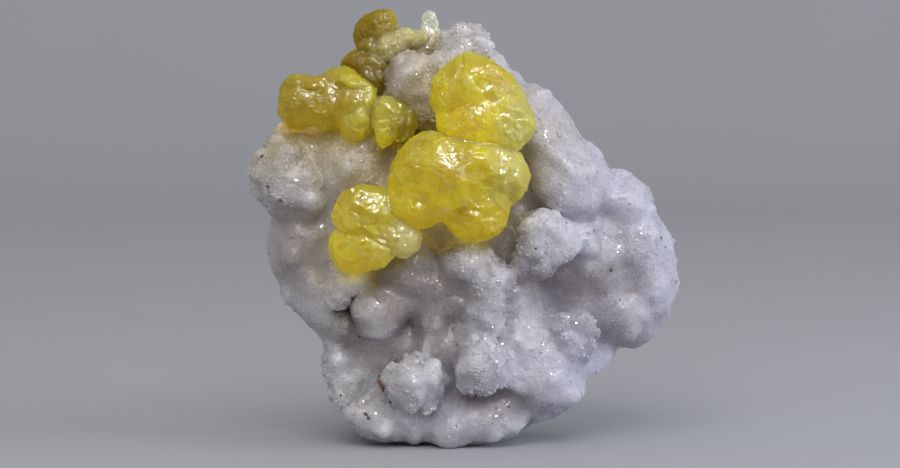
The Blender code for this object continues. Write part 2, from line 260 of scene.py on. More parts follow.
# The top group: a plate with its stem and its granular foot.
UPRIGHT_PLATE = (
    Plate((-11.1, 1.5, 61.9), (2.7, 2.1, 2.9), -8, amber=0.9),
    Plate((-9.8, 1.5, 62.8), (1.7, 1.7, 1.9), amber=0.7),  # its square right corner
    Plate((-12.9, 1.6, 61.4), (1.7, 1.8, 2.2), 14, amber=1),  # bulge at its left
    Plate((-11.6, 1.4, 59.2), (2.9, 2.3, 2.7), cream=0.1, amber=0.9),  # where it leaves the foot
)
CREAM_FOOT = (
    Plate((-9.5, 0.9, 58.8), (2.9, 2.9, 2.6), cream=0.8, amber=0.2),
    Plate((-7.2, 1.6, 60.4), (1.9, 1.8, 1.5), cream=0.8),  # crust along the arm
    Plate((-5.4, 1.9, 60.0), (1.5, 1.6, 1.4), cream=0.9),
    Plate((-4.0, 1.9, 60.6), (1.3, 1.5, 1.1), cream=0.8),
)
# The stem's full amber is partly its own deep gold and partly painted shadow, as it lies in shade under the
# plate.
SHADOWED_AMBER_STEM = (
    Plate((-13.8, 1.4, 56.2), (2.7, 2.8, 2.8), 24, amber=1),
    Plate((-11.8, 1, 54.6), (3, 3.2, 4.2), cream=0.1, amber=0.9),
)
TOP_CLUSTER = (UPRIGHT_PLATE, CREAM_FOOT, SHADOWED_AMBER_STEM)

CLEAR_KNOB = ((
    Plate((-3.3, 2, 62.5), (1.3, 1.3, 2), 6),
    Plate((-3.5, 2.1, 60.8), (1.9, 1.6, 1.1), -10),  # flare at its foot
),)

# Every group of crystals: its piece, its node, its crystals, its slot, its seed and the size of its small
# faces.
Group = namedtuple("Group", "piece node crystals slot seed face_size")
BRUCITE_GROUPS = (
    Group("main_crystals", "brucite_main_cluster", MAIN_CLUSTER, "lemon_brucite", 3, 2.6),
    Group("left_crystals", "brucite_left_cluster", LEFT_CLUSTER, "lemon_brucite", 14, 1.8),
    Group("top_crystals", "brucite_top_cluster", TOP_CLUSTER, "olive_brucite", 25, 2.0),
)
CLEAR_GROUP = Group("clear_crystal", "clear_knob", CLEAR_KNOB, "clear_crystal", 37, 1.4)

# How softly shapes join, in millimetres: within each part of the rock, between its parts, between the plates
# of a crystal and between crystals.
SOFTNESS = {
    "core": 0.3, "smooth": 0.75, "knobby": 0.35, "arm": 0.3, "knobs": 0.12, "rock": 0.2,
    "plates": 0.4, "crystals": 0.1,
}

# How shapes and the patterns on them waver: the height, the size and the seed of each drift.
ROCK_WAVES = ((0.8, 7.0, 40), (0.45, 2.6, 70))
KNOB_WAVES = ((0.35, 1.3, 80),)
BULGE_WAVES = ((1.2, 3.5, 90),)
CRYSTAL_WAVES = ((0.35, 4.0, 40), (0.1, 1.4, 70))
FACE_WAVES = ((0.3, 2.0, 0),)

# The rock's fine relief: the size and the seed of each pattern.
BULGES = (4.6, 20)
LARGE_KNOBS = (2.3, 21)
SMALL_KNOBS = (1.05, 24)
SUGAR = (0.6, 27)
BACK_STEP_HEIGHT = 0.9

# Rounds of smoothing that show where a surface is sunk or stands out, from narrow to broad.
CREST_ROUNDS = 12
RIM_ROUNDS = 25
HOLLOW_ROUNDS = 60
BROAD_HOLLOW_ROUNDS = 220

GRAIN_SIZES = (0.1, 0.4)  # half sizes of the smallest and the largest single grain
GRAIN_SUNK = 0.35  # how deep it sinks, as a share of its half size
UNEVEN = (0.75, 1.3)  # how far half sizes may differ from the mean, as shares of it
SPECK_REACH = 0.5  # how far from its place a speck may find its seat

# A crystal's small flat faces, in three sizes: their height and width as shares of the group's own, how
# patchy they are, and their seed.
FACE_LEVELS = ((1.0, 1.0, 0.0, 1), (0.85, 0.45, 1.0, 11), (0.4, 0.22, 0.7, 21))
ROUNDED_GRAINS = (0.9, 2)  # the size and the seed of the grains in granular crystal
ROUNDED_GRAIN_HEIGHT = 0.3
COLOUR_SOFTNESS = 0.35  # how softly the colours of neighbouring plates blend

FACES_ON_A_PLATE = 22
FACE_SHARES = (0.87, 0.98)  # how far out a plate's flat faces lie, in shares of its own half size
FACE_SHAKE = 0.22  # how far their directions are shaken
GOLDEN_TURN = 0.618  # the part of a turn between one direction and the next when they are spread evenly

# Cracks in the main group as seen from the front: (x, z) corners.
CRACKS = (
    ((1.3, 59.2), (1.6, 57.2), (0.7, 55.6)),  # notch in the top of the upper plate
    ((-15.6, 32.6), (-13.2, 32.9), (-10.6, 31.0), (-8.4, 30.2)),  # between the lower left plate and lobe
)
CRACK_DEPTH = 0.45
CRACK_WIDTH = 0.2

# Pale lines on it, in the same way.
VEINS = (
    ((-8.4, 39.4), (-5.8, 36.4), (-2.8, 35.6), (0.2, 36.0)),  # edge of a thin plate under the centre
    ((-2.0, 37.0), (-0.2, 36.0), (1.4, 34.4)),
    ((1.6, 47.4), (4.4, 45.6), (7.0, 44.8)),  # foot of the upper plate
    ((5.4, 38.4), (7.6, 36.4)),
)
VEIN_WIDTH = 0.16
LINES_IN_FRONT_OF = -6  # only points with a smaller y take part
GROOVE_DEPTH = 0.2  # of the grooves where two crystals meet
GROOVE_WIDTH = 0.3


# --- settings -------------------------------------------------------------------------------------


def number(name, description, default, **options):
    """A number property that isn't negative."""
    return bpy.props.FloatProperty(name=name, description=description, default=default, min=0.0, **options)


def length(name, description, millimetres):
    """A length property, shown in the scene's own unit."""
    return number(name, description, millimetres * MM, unit="LENGTH", precision=5)


def colour(name, description, red, green, blue):
    """A colour property, in linear RGB."""
    return bpy.props.FloatVectorProperty(
        name=name, description=description, default=(red, green, blue), subtype="COLOR", min=0, max=1, size=3
    )


class RockSettings(bpy.types.PropertyGroup):
    """Sizes and colours of the white rock."""

    voxel: length("Fineness", "Edge of the voxels that fuse the lumps", 0.38)
    relief: length("Relief", "Height of the broad swells over the crust", 0.2)
    knob_height: length("Knob height", "Height of the small knobs on the knobby lumps", 0.8)
    grain_height: length("Grain height", "Height of the sugary grains", 0.07)
    grain_count: bpy.props.IntProperty(
        name="Loose grains", description="How many single grains are set on the crust", default=4500, min=0
    )
    grain_size: length("Grain size", "Half size of a typical single grain", 0.2)
    white: colour("White", "The bright faces of the crust", 0.44, 0.425, 0.44)
    # Painted light: lavender laid on the right side, standing for the cool light that falls there from the
    # right
    lavender_cool_light: colour("Lavender", "The cool right side of the crust", 0.42, 0.415, 0.50)
    pink: colour("Pink", "The warm upper left of the crust", 0.44, 0.41, 0.41)
    grey: colour("Grey", "The clearer patches of the crust", 0.33, 0.32, 0.325)
    # Painted shade: the grey-brown laid in the hollows and the patches of painted shade, standing in for the
    # shade that falls there
    hollow: colour("Hollow", "The grey-brown of the deep hollows", 0.148, 0.108, 0.088)
    # Painted glow: the yellow light that the crystals throw onto the rock near them, painted in as an olive
    # tint
    glow: colour("Glow", "The olive tint beside the yellow crystals", 0.42, 0.32, 0.10)
    # Frost and painted highlight: the bright colour of frosty grains, also laid on proud crests and in dots
    # that stand for glints
    frost_and_highlight: colour("Frost", "The bright grains of the crust", 0.72, 0.71, 0.74)
    rust: colour("Rust", "The iron stain", 0.16, 0.06, 0.01)
    speck: colour("Specks", "The black specks", 0.03, 0.028, 0.03)


class BruciteSettings(bpy.types.PropertyGroup):
    """Sizes and colours of the crystals."""

    voxel: length("Fineness", "Edge of the voxels that fuse the plates", 0.175)
    face_height: length("Small faces", "How far the small flat faces stand out and in", 0.42)
    step_height: length("Steps", "Height of the growth steps", 0.1)
    lemon: colour("Lemon", "The main yellow", 0.90, 0.82, 0.02)
    olive: colour("Olive", "The deep yellow inside thick crystal", 0.70, 0.57, 0.006)
    pale: colour("Pale", "The thin lobes and rims", 0.66, 0.65, 0.22)
    cream: colour("Cream", "The granular foot of the top group", 0.92, 0.84, 0.50)
    amber: colour("Amber", "The deep gold of the darker crystals", 0.42, 0.28, 0.003)
    clear: colour("Clear", "What the clear knob lets through", 0.86, 0.90, 0.72)


class StageSettings(bpy.types.PropertyGroup):
    """The floor, the lights and the camera."""

    floor: colour("Floor", "The pale floor and backdrop", 0.40, 0.41, 0.43)
    key: number("Key light", "Soft light above the front", 1.8, unit="POWER")
    glint: number("Glint", "Small light for the glints", 7.0, unit="POWER")
    rim: number("Rim light", "Cool light from the right", 1.4, unit="POWER")
    dome: number("Dome", "Brightness of the even light all round", 0.6)
    distance: length("Camera distance", "From the specimen to the camera", 600)
    elevation: number("Camera elevation", "How far it looks down", math.radians(6), subtype="ANGLE")


# --- numbers that vary over space -----------------------------------------------------------------


def hashed(cells, seed):
    """A repeatable number from 0 to 1 for each whole-number cell: its x, y, z and the seed multiplied by
    large odd numbers, added, and stirred by shifts."""
    x, y, z = (cells[..., axis].astype(np.int64).astype(np.uint32) for axis in range(3))
    mixed = x * np.uint32(374761393) + y * np.uint32(668265263) + z * np.uint32(1274126177)
    mixed += np.uint32((seed * 2654435761) % 2**32)
    mixed = (mixed ^ (mixed >> np.uint32(13))) * np.uint32(2246822519)
    mixed = (mixed ^ (mixed >> np.uint32(15))) * np.uint32(3266489917)
    return (mixed ^ (mixed >> np.uint32(16))) / 2.0**32


def hashed_point(cells, seed):
    """A repeatable point for each cell, with each of its three parts from 0 to 1."""
    return np.stack([hashed(cells, seed + axis) for axis in range(3)], axis=-1)


def swell(points, size, seed):
    """Smooth noise from -1 to 1: random values at the corners of cells of that size, blended across each
    cell by 6t^5 - 15t^4 + 10t^3."""
    scaled = points / size
    cell = np.floor(scaled)
    part = scaled - cell
    blend = part**3 * (part * (part * 6 - 15) + 10)
    total = np.zeros(points.shape[:-1])
    for corner in np.ndindex(2, 2, 2):
        weight = np.prod(np.where(corner, blend, 1 - blend), axis=-1)
        total += weight * hashed(cell + corner, seed)
    return 2 * total - 1


def rough(points, size, seed, octaves):
    """Swells on swells: each octave has half the size and half the height of the one before."""
    return sum(swell(points, size / 2**octave, seed + octave) / 2**octave for octave in range(octaves))


def from_centres(points, size, seed):
    """Cells like packed pebbles, with one random centre in each cell of that size. Goes through the cells
    round every point, and gives each one with the way from its centre to the point, in cell sizes."""
    scaled = points / size
    cell = np.floor(scaled)
    for step in np.ndindex(3, 3, 3):
        home = cell + np.array(step) - 1
        yield home, scaled - (home + hashed_point(home, seed))


def pebbles(points, size, seed):
    """The distance to the nearest centre of packed pebbles, in cell sizes."""
    nearest = np.full(points.shape[:-1], np.inf)
    for _, away in from_centres(points, size, seed):
        nearest = np.minimum(nearest, np.linalg.norm(away, axis=-1))
    return nearest


def slopes(points, size, seed):
    """Small flat faces: in each cell of packed pebbles the height is a random slope of the cell's own times
    the way from its centre, in cell sizes."""
    nearest = np.full(points.shape[:-1], np.inf)
    height = np.zeros(points.shape[:-1])
    for home, away in from_centres(points, size, seed):
        slope = hashed_point(home, seed + 3) - 0.5
        distance = np.linalg.norm(away, axis=-1)
        height = np.where(distance < nearest, dot(slope, away), height)
        nearest = np.minimum(nearest, distance)
    return height


def stepped(values, steps, edge=0.25):
    """Turns a slope into terraces: flat treads, each rising to the next over the last share of its run."""
    scaled = values * steps
    tread = np.floor(scaled)
    rise = np.clip((scaled - tread - 1 + edge) / edge, 0, 1)
    return (tread + rise * rise * (3 - 2 * rise)) / steps


def dot(first, second):
    """The dot product of each pair of rows."""
    return np.einsum("nk,nk->n", first, second)


def ramp(values, low, high):
    """0 below low, 1 above high, and smooth between."""
    share = np.clip((values - low) / (high - low), 0, 1)
    return share * share * (3 - 2 * share)


# --- surfaces on a grid of two parameters ---------------------------------------------------------


def ball_grid(rows, columns):
    """Unit directions: the first parameter runs from pole to pole, the second once round."""
    down = np.linspace(0, np.pi, rows)[:, None]
    about = np.arange(columns)[None, :] * (2 * np.pi / columns)
    level = np.cos(down) * np.ones_like(about)
    return np.stack([np.sin(down) * np.cos(about), np.sin(down) * np.sin(about), level], axis=-1)


def grid_faces(rows, columns):
    """Four-cornered faces between neighbouring grid points, closed round the second parameter."""
    row, column = np.mgrid[0 : rows - 1, 0:columns]
    after = (column + 1) % columns
    here, below = row * columns, (row + 1) * columns
    return np.stack([here + column, below + column, below + after, here + after], axis=-1).reshape(-1, 4)


def leaned(points, lean):
    """Turns points about Y by a lean in radians: (x cos + z sin, y, z cos - x sin)."""
    x, y, z = np.moveaxis(points, -1, 0)
    return np.stack([x * np.cos(lean) + z * np.sin(lean), y, z * np.cos(lean) - x * np.sin(lean)], axis=-1)


def placed(balls, lumps):
    """Carries each unit ball to its lump: stretched by the half sizes, leaned, moved to the centre."""
    centres = np.array([lump.centre for lump in lumps], float)[:, None, None, :]
    halves = np.array([lump.half for lump in lumps], float)[:, None, None, :]
    leans = np.radians([lump.lean for lump in lumps])[:, None, None]
    return leaned(balls * halves, leans) + centres


def chip_planes():
    """Broken faces of the rock's masses: for every mass, and every break plane several times over, a plane
    that leans a little and lies a little before or behind. Gives points and unit normals, planes by
    masses."""
    draw = random.Random(11)
    starts, facing = [], []
    for _ in CORE:
        for point, way in BREAKS * CHIPS_AT_A_BREAK:
            tilt = Vector([draw.uniform(-CHIP_TILT, CHIP_TILT) for _ in range(3)])
            facing.append((Vector(way) + tilt).normalized())
            starts.append(Vector(point) + facing[-1] * draw.uniform(*CHIP_STEP))
    shape = (len(CORE), len(BREAKS) * CHIPS_AT_A_BREAK, 3)
    return (np.array(each).reshape(shape).swapaxes(0, 1) for each in (starts, facing))


def pressed_behind(balls, starts, facing):
    """Presses what lies beyond each plane back onto it: p - max((p - start).n, 0) n."""
    for start, way in zip(starts[:, :, None, None, :], facing[:, :, None, None, :]):
        beyond = np.maximum(((balls - start) * way).sum(axis=-1, keepdims=True), 0)
        balls = balls - beyond * way
    return balls


# --- meshes ---------------------------------------------------------------------------------------


def fill_mesh(name, points, faces):
    """A mesh from an array of points in millimetres and an array of faces of equal corner count."""
    mesh = bpy.data.meshes.new(name)
    corners = faces.shape[1]
    mesh.vertices.add(len(points))
    mesh.vertices.foreach_set("co", (points * MM).astype(np.float32).ravel())
    mesh.loops.add(faces.size)
    mesh.loops.foreach_set("vertex_index", faces.astype(np.int32).ravel())
    mesh.polygons.add(len(faces))
    mesh.polygons.foreach_set("loop_start", np.arange(0, faces.size, corners, dtype=np.int32))
    mesh.update(calc_edges=True)
    return mesh


def gathered(shells):
    """Joins arrays of balls, shaped (count, rows, columns, 3), into one array of points and one of faces."""
    points, faces, start = [], [], 0
    for balls in shells:
        count, rows, columns, _ = balls.shape
        offsets = start + np.arange(count)[:, None, None] * rows * columns
        faces.append((grid_faces(rows, columns)[None] + offsets).reshape(-1, 4))
        points.append(balls.reshape(-1, 3))
        start += count * rows * columns
    return np.concatenate(points), np.concatenate(faces)


def fused(shells, voxel):
    """Fuses overlapping balls into one closed skin. Gives its points in millimetres, faces and edges."""
    mesh = fill_mesh("shells", *gathered(shells))
    holder = bpy.data.objects.new("shells", mesh)
    bpy.context.scene.collection.objects.link(holder)
    remesh = holder.modifiers.new("fuse", "REMESH")
    remesh.mode = "VOXEL"
    remesh.voxel_size = voxel * MM
    skin = holder.evaluated_get(bpy.context.evaluated_depsgraph_get()).to_mesh()
    points = np.empty(len(skin.vertices) * 3, np.float32)
    corners = np.empty(len(skin.loops), np.int32)
    edges = np.empty(len(skin.edges) * 2, np.int32)
    skin.vertices.foreach_get("co", points)
    skin.loops.foreach_get("vertex_index", corners)
    skin.edges.foreach_get("vertices", edges)
    bpy.data.objects.remove(holder)
    bpy.data.meshes.remove(mesh)
    return points.reshape(-1, 3).astype(float) / MM, corners.reshape(-1, 4), edges.reshape(-1, 2)


def largest_part(points, faces, edges):
    """Drops what isn't joined to the largest part. Every point takes the lowest number among its neighbours,
    over and over, until each part has one number."""
    first, other = edges.T
    number = np.arange(len(points))
    steady = False
    while not steady:
        lower = number.copy()
        np.minimum.at(lower, first, number[other])
        np.minimum.at(lower, other, number[first])
        lower = lower[lower]
        steady = bool((lower == number).all())
        number = lower
    kept = number == np.bincount(number).argmax()
    new_number = np.cumsum(kept) - 1
    return points[kept], new_number[faces[kept[faces[:, 0]]]], new_number[edges[kept[first]]]


def relaxed(points, edges, rounds, share=0.5):
    """Smooths: in each round every point goes that share of the way to the mean of its neighbours."""
    first, other = edges.T
    neighbours = np.bincount(edges.ravel(), minlength=len(points))
    for _ in range(rounds):
        sums = [
            np.bincount(first, along[other], len(points)) + np.bincount(other, along[first], len(points))
            for along in points.T
        ]
        points = points + share * (np.stack(sums, axis=-1) / neighbours[:, None] - points)
    return points


def normals_of(points, faces):
    """Each point's normal: the sum of its faces' normals, each the cross product of the face's diagonals."""
    facing = np.cross(points[faces[:, 2]] - points[faces[:, 0]], points[faces[:, 3]] - points[faces[:, 1]])
    sums = [np.bincount(faces.ravel(), np.repeat(facing[:, axis], 4), len(points)) for axis in range(3)]
    total = np.stack(sums, axis=-1)
    return total / np.maximum(np.linalg.norm(total, axis=-1, keepdims=True), 1e-12)


def in_ball(points, lump):
    """Points in a lump's own unit ball, and its mean half size."""
    own = leaned(points - np.array(lump.centre), -math.radians(lump.lean))
    return own / np.array(lump.half), float(np.cbrt(np.prod(lump.half)))


def depth_in(points, lumps):
    """How far points lie outside lumps, in millimetres: (|p| - 1) times the mean half size, with p the point
    in the lump's own unit ball. Gives an array of points by lumps; inside is negative."""
    found = []
    for lump in lumps:
        own, size = in_ball(points, lump)
        found.append((np.linalg.norm(own, axis=-1) - 1) * size)
    return np.stack(found, axis=-1)


def depth_in_facets(points, plates, draw):
    """How far points lie outside plates, each a ball cut by flat faces: |p| above becomes the greatest of
    |p| and p.n / share, for face directions n spread over the ball by the golden angle and shaken."""
    found = []
    turns = np.arange(FACES_ON_A_PLATE)
    level = 1 - 2 * (turns + 0.5) / FACES_ON_A_PLATE
    across = np.sqrt(1 - level**2)
    for plate in plates:
        own, size = in_ball(points, plate)
        about = 2 * np.pi * (GOLDEN_TURN * turns + draw.uniform())
        ways = np.stack([across * np.cos(about), level, across * np.sin(about)], axis=-1)
        ways += draw.uniform(-FACE_SHAKE, FACE_SHAKE, size=ways.shape)
        ways /= np.linalg.norm(ways, axis=-1, keepdims=True)
        shares = draw.uniform(*FACE_SHARES, size=(FACES_ON_A_PLATE, 1))
        beyond = (own @ (ways / shares).T).max(axis=-1)
        found.append((np.maximum(np.linalg.norm(own, axis=-1), beyond) - 1) * size)
    return np.stack(found, axis=-1)


def add_piece(name, points, faces, finish, attributes, smooth=True):
    """Puts a piece in the scene, with named values at its points and its material."""
    mesh = fill_mesh(name, points, faces)
    for label, values in attributes.items():
        layer = mesh.attributes.new(label, "FLOAT", "POINT")
        layer.data.foreach_set("value", values.astype(np.float32))
    mesh.polygons.foreach_set("use_smooth", np.full(len(faces), smooth))
    mesh.materials.append(finish)
    piece = bpy.data.objects.new(name, mesh)
    bpy.context.scene.collection.objects.link(piece)
    return piece


def finished(name, points, faces, finish, attributes, slot, nodes=(), smooth=True):
    """Makes a piece of the specimen, and gives it its place in the frame."""
    piece = add_piece(name, points, faces, finish, attributes, smooth)
    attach(piece, "root")
    if nodes:
        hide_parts(*nodes)


# --- materials ------------------------------------------------------------------------------------


def node(tree, kind, inputs=(), **options):
    """Adds a node with its options. Each input is given a value, or is fed by another node's socket."""
    made = tree.nodes.new("ShaderNode" + kind)
    for option, value in options.items():
        setattr(made, option, value)
    for socket, value in dict(inputs).items():
        if isinstance(value, bpy.types.NodeSocket):
            tree.links.new(value, made.inputs[socket])
        else:
            made.inputs[socket].default_value = value
    return made


def maths(tree, operation, first, second=0.0, clamp=False):
    """Works out one number from two."""
    return node(tree, "Math", {0: first, 1: second}, operation=operation, use_clamp=clamp).outputs[0]


def blended(tree, share, first, second, blend="MIX"):
    """Mixes two colours by a share from 0 to 1."""
    made = node(tree, "Mix", {0: share, 6: first, 7: second}, data_type="RGBA", blend_type=blend)
    return made.outputs[2]


def layered(tree, base, *layers):
    """Lays colours over a base one after the other, each by its own share."""
    for share, over in layers:
        base = blended(tree, share, base, rgba(over))
    return base


def stretched(tree, value, low, high, to_low=0.0, to_high=1.0):
    """Carries the range from low to high onto another, smoothly, and holds it beyond both ends."""
    inputs = {"Value": value, "From Min": low, "From Max": high, "To Min": to_low, "To Max": to_high}
    return node(tree, "MapRange", inputs, interpolation_type="SMOOTHSTEP").outputs[0]


def attribute(tree, name):
    """Reads a named value of the piece's points."""
    return node(tree, "Attribute", attribute_name=name).outputs["Fac"]


def start_group(name, inputs, outputs):
    """An empty shader node group with float inputs, given with their defaults, and typed outputs."""
    group = bpy.data.node_groups.new(name, "ShaderNodeTree")
    for label, default in inputs.items():
        socket = group.interface.new_socket(label, in_out="INPUT", socket_type="NodeSocketFloat")
        socket.default_value = default
    for label, kind in outputs.items():
        group.interface.new_socket(label, in_out="OUTPUT", socket_type=kind)
    entry = group.nodes.new("NodeGroupInput")
    leave = group.nodes.new("NodeGroupOutput")
    place = node(group, "TexCoord").outputs["Object"]
    return group, entry.outputs, leave.inputs, place


def per_metre(tree, millimetres):
    """A texture's scale from the size of its features in millimetres."""
    return maths(tree, "DIVIDE", 1 / MM, millimetres)


def make_clouds_group():
    """Soft uneven patches: noise of that size in millimetres, from 0 to 1, with its contrast raised."""
    inputs = {"Size": 4.0, "Contrast": 1.5}
    group, given, out, place = start_group("clouds", inputs, {"Value": "NodeSocketFloat"})
    scale = per_metre(group, given["Size"])
    noise = node(group, "TexNoise", {"Vector": place, "Scale": scale, "Detail": 4.0})
    centred = maths(group, "SUBTRACT", noise.outputs[0], 0.5)
    raised = maths(group, "MULTIPLY", centred, given["Contrast"])
    group.links.new(maths(group, "ADD", raised, 0.5, clamp=True), out["Value"])
    return group


WOBBLE_SIZE = 0.4  # of the wobble that makes the specks uneven, in millimetres
WOBBLE_REACH = 0.6  # how far it shifts their edges


def make_specks_group():
    """Scattered specks: a mask that is 1 near the middle of a share of the cells of a Voronoi pattern."""
    inputs = {"Spacing": 3.0, "Share": 0.2, "Radius": 0.12}
    group, given, out, place = start_group("specks", inputs, {"Mask": "NodeSocketFloat"})
    wobble = node(group, "TexNoise", {"Vector": place, "Scale": 1 / (WOBBLE_SIZE * MM), "Detail": 1.0})
    shift = {0: wobble.outputs["Color"], "Scale": WOBBLE_REACH * MM}
    offset = node(group, "VectorMath", shift, operation="SCALE")
    moved = node(group, "VectorMath", {0: place, 1: offset.outputs[0]}, operation="ADD")
    scale = per_metre(group, given["Spacing"])
    cells = node(group, "TexVoronoi", {"Vector": moved.outputs[0], "Scale": scale})
    chance = node(group, "SeparateColor", {0: cells.outputs["Color"]}).outputs[0]
    size = maths(group, "MULTIPLY", given["Radius"], maths(group, "SUBTRACT", given["Share"], chance))
    near = maths(group, "LESS_THAN", cells.outputs["Distance"], maths(group, "DIVIDE", size, given["Share"]))
    group.links.new(near, out["Mask"])
    return group


def tilted_cells(tree, place, scale, tilt):
    """Small flat faces: every cell of a Voronoi pattern tilts the surface its own way. Gives the cells' node
    and the tilted normal."""
    cells = node(tree, "TexVoronoi", {"Vector": place, "Scale": scale})
    centred = node(tree, "VectorMath", {0: cells.outputs["Color"], 1: (0.5, 0.5, 0.5)}, operation="SUBTRACT")
    leaning = node(tree, "VectorMath", {0: centred.outputs[0], "Scale": tilt}, operation="SCALE")
    facing = node(tree, "NewGeometry").outputs["Normal"]
    tilted = node(tree, "VectorMath", {0: facing, 1: leaning.outputs[0]}, operation="ADD")
    return cells, node(tree, "VectorMath", {0: tilted.outputs[0]}, operation="NORMALIZE").outputs[0]


def make_grain_group():
    """Sugary grains: small flat faces that swell a little, each with a chance of its own from 0 to 1."""
    inputs = {"Size": 0.35, "Tilt": 0.5}
    outputs = {"Height": "NodeSocketFloat", "Normal": "NodeSocketVector", "Chance": "NodeSocketFloat"}
    group, given, out, place = start_group("grain", inputs, outputs)
    cells, normal = tilted_cells(group, place, per_metre(group, given["Size"]), given["Tilt"])
    group.links.new(normal, out["Normal"])
    group.links.new(maths(group, "SUBTRACT", 1.0, cells.outputs["Distance"]), out["Height"])
    group.links.new(node(group, "SeparateColor", {0: cells.outputs["Color"]}).outputs[1], out["Chance"])
    return group


GROUP_MAKERS = {"clouds": make_clouds_group, "specks": make_specks_group, "grain": make_grain_group}


def use_group(tree, name, **inputs):
    """Places one of the shared node groups in a material, with its values. Each is built once."""
    made = tree.nodes.new("ShaderNodeGroup")
    made.node_tree = bpy.data.node_groups.get(name) or GROUP_MAKERS[name]()
    for label, value in inputs.items():
        made.inputs[label].default_value = value
    return made.outputs


def clouds(tree, size, contrast):
    """Soft uneven patches of that size in millimetres, from 0 to 1."""
    return use_group(tree, "clouds", Size=size, Contrast=contrast)["Value"]


def product(tree, first, second):
    """Multiplies two numbers."""
    return maths(tree, "MULTIPLY", first, second)


def start_material(name):
    """A new material, its node tree and its shader."""
    made = bpy.data.materials.new(name)
    made.use_nodes = True
    return made, made.node_tree, made.node_tree.nodes["Principled BSDF"]


def rgba(value):
    """A colour with its alpha, which is 1."""
    return (*value, 1.0)


def set_values(shader, values):
    """Sets plain values on a shader's own sockets."""
    for socket, value in values.items():
        shader.inputs[socket].default_value = value


def raise_surface(tree, shader, height, strength, millimetres, **inputs):
    """Feeds a shader's normal from a Bump node."""
    given = {"Strength": strength, "Distance": millimetres * MM, "Height": height, **inputs}
    tree.links.new(node(tree, "Bump", given).outputs[0], shader.inputs["Normal"])


def rock_material(settings, name="white_rock", loose=False):
    """White sugary rock, with painted light and shade: painted cool light to the right, a painted yellow
    glow beside the crystals, painted grey-brown shade in the hollows, and painted highlights on proud crests
    and in bright frosty dots that are partly real white grains. It has black specks and one iron stain.
    Light wanders in the rock, and not in its small loose grains."""
    made, tree, shader = start_material(name)
    patches = clouds(tree, 7.0, 1.6)
    fine = clouds(tree, 0.9, 1.4)
    grain = use_group(tree, "grain", Size=0.5, Tilt=0.22)
    specks = use_group(tree, "specks", Spacing=3.4, Share=0.12, Radius=0.09)["Mask"]

    # painted shade in the hollows and the shade patches, a little uneven
    deep = product(tree, attribute(tree, "hollow"), stretched(tree, patches, 0.2, 0.8, 0.75, 1.0))
    # painted glow of the crystals' yellow light on the rock
    glow = product(tree, attribute(tree, "glow"), stretched(tree, patches, 0.1, 0.9, 0.55, 1.0))
    base = layered(
        tree,
        rgba(settings.white),
        # painted cool light on the right side
        (attribute(tree, "cool"), settings.lavender_cool_light),
        (product(tree, attribute(tree, "warm"), 0.6), settings.pink),
        (product(tree, stretched(tree, patches, 0.35, 0.95), 0.4), settings.grey),
        (glow, settings.glow),
        # painted highlight: proud crests outside the painted shade are brightened, partly their frosty grain
        (product(tree, attribute(tree, "raised"), 0.35), settings.frost_and_highlight),
        # painted shade, laid last so that it covers the tints above
        (deep, settings.hollow),
    )
    shade = stretched(tree, fine, 0.0, 1.0, 0.93, 1.06)
    tint = node(tree, "CombineColor", {0: shade, 1: shade, 2: shade}).outputs[0]
    base = blended(tree, 1.0, base, tint, "MULTIPLY")
    # bright frosty dots: partly real white grains, partly painted glints; fewer where painted shade lies
    frost_and_highlight = stretched(tree, clouds(tree, 0.3, 2.6), 0.62, 1.0)
    frost_and_highlight = product(tree, frost_and_highlight, stretched(tree, deep, 0.0, 0.6, 0.5, 0.15))
    base = layered(
        tree,
        base,
        (attribute(tree, "rust"), settings.rust),
        (frost_and_highlight, settings.frost_and_highlight),
        (product(tree, specks, 0.8), settings.speck),
    )
    tree.links.new(base, shader.inputs["Base Color"])

    shine = stretched(tree, grain["Chance"], 0.75, 1.0, 0.6, 0.12)
    tree.links.new(shine, shader.inputs["Roughness"])
    height = maths(tree, "ADD", grain["Height"], product(tree, fine, 1.5))
    raise_surface(tree, shader, height, 0.5, 0.15, Normal=grain["Normal"])
    shader.subsurface_method = "BURLEY"
    set_values(shader, {
        "Subsurface Weight": 0.0 if loose else 0.9,
        "Subsurface Radius": (1.0, 0.95, 0.9),
        "Subsurface Scale": 0.0035,
        "Specular IOR Level": 0.35,
        "IOR": 1.52,
    })
    return made


def speck_material(settings):
    """Dull black grains, a little brown in places."""
    made, tree, shader = start_material("black_speck")
    patches = clouds(tree, 0.4, 2.0)
    base = blended(tree, product(tree, patches, 0.6), rgba(settings.speck), rgba(settings.rust))
    tree.links.new(base, shader.inputs["Base Color"])
    tree.links.new(stretched(tree, patches, 0.0, 1.0, 0.35, 0.7), shader.inputs["Roughness"])
    return made


BRUCITE_IOR = 1.57
BRUCITE_PASSES = (0.988, 0.972, 0.04)  # the colour that yellow crystal lets through
BRUCITE_DENSITY = 900.0  # how fast it takes up the rest
CLEAR_DENSITY = 300.0  # the same for the clear crystal
GLINT_SIZE = 0.6  # a crystal's small bright faces, in millimetres
GLINT_TILT = 0.4  # how far they lean


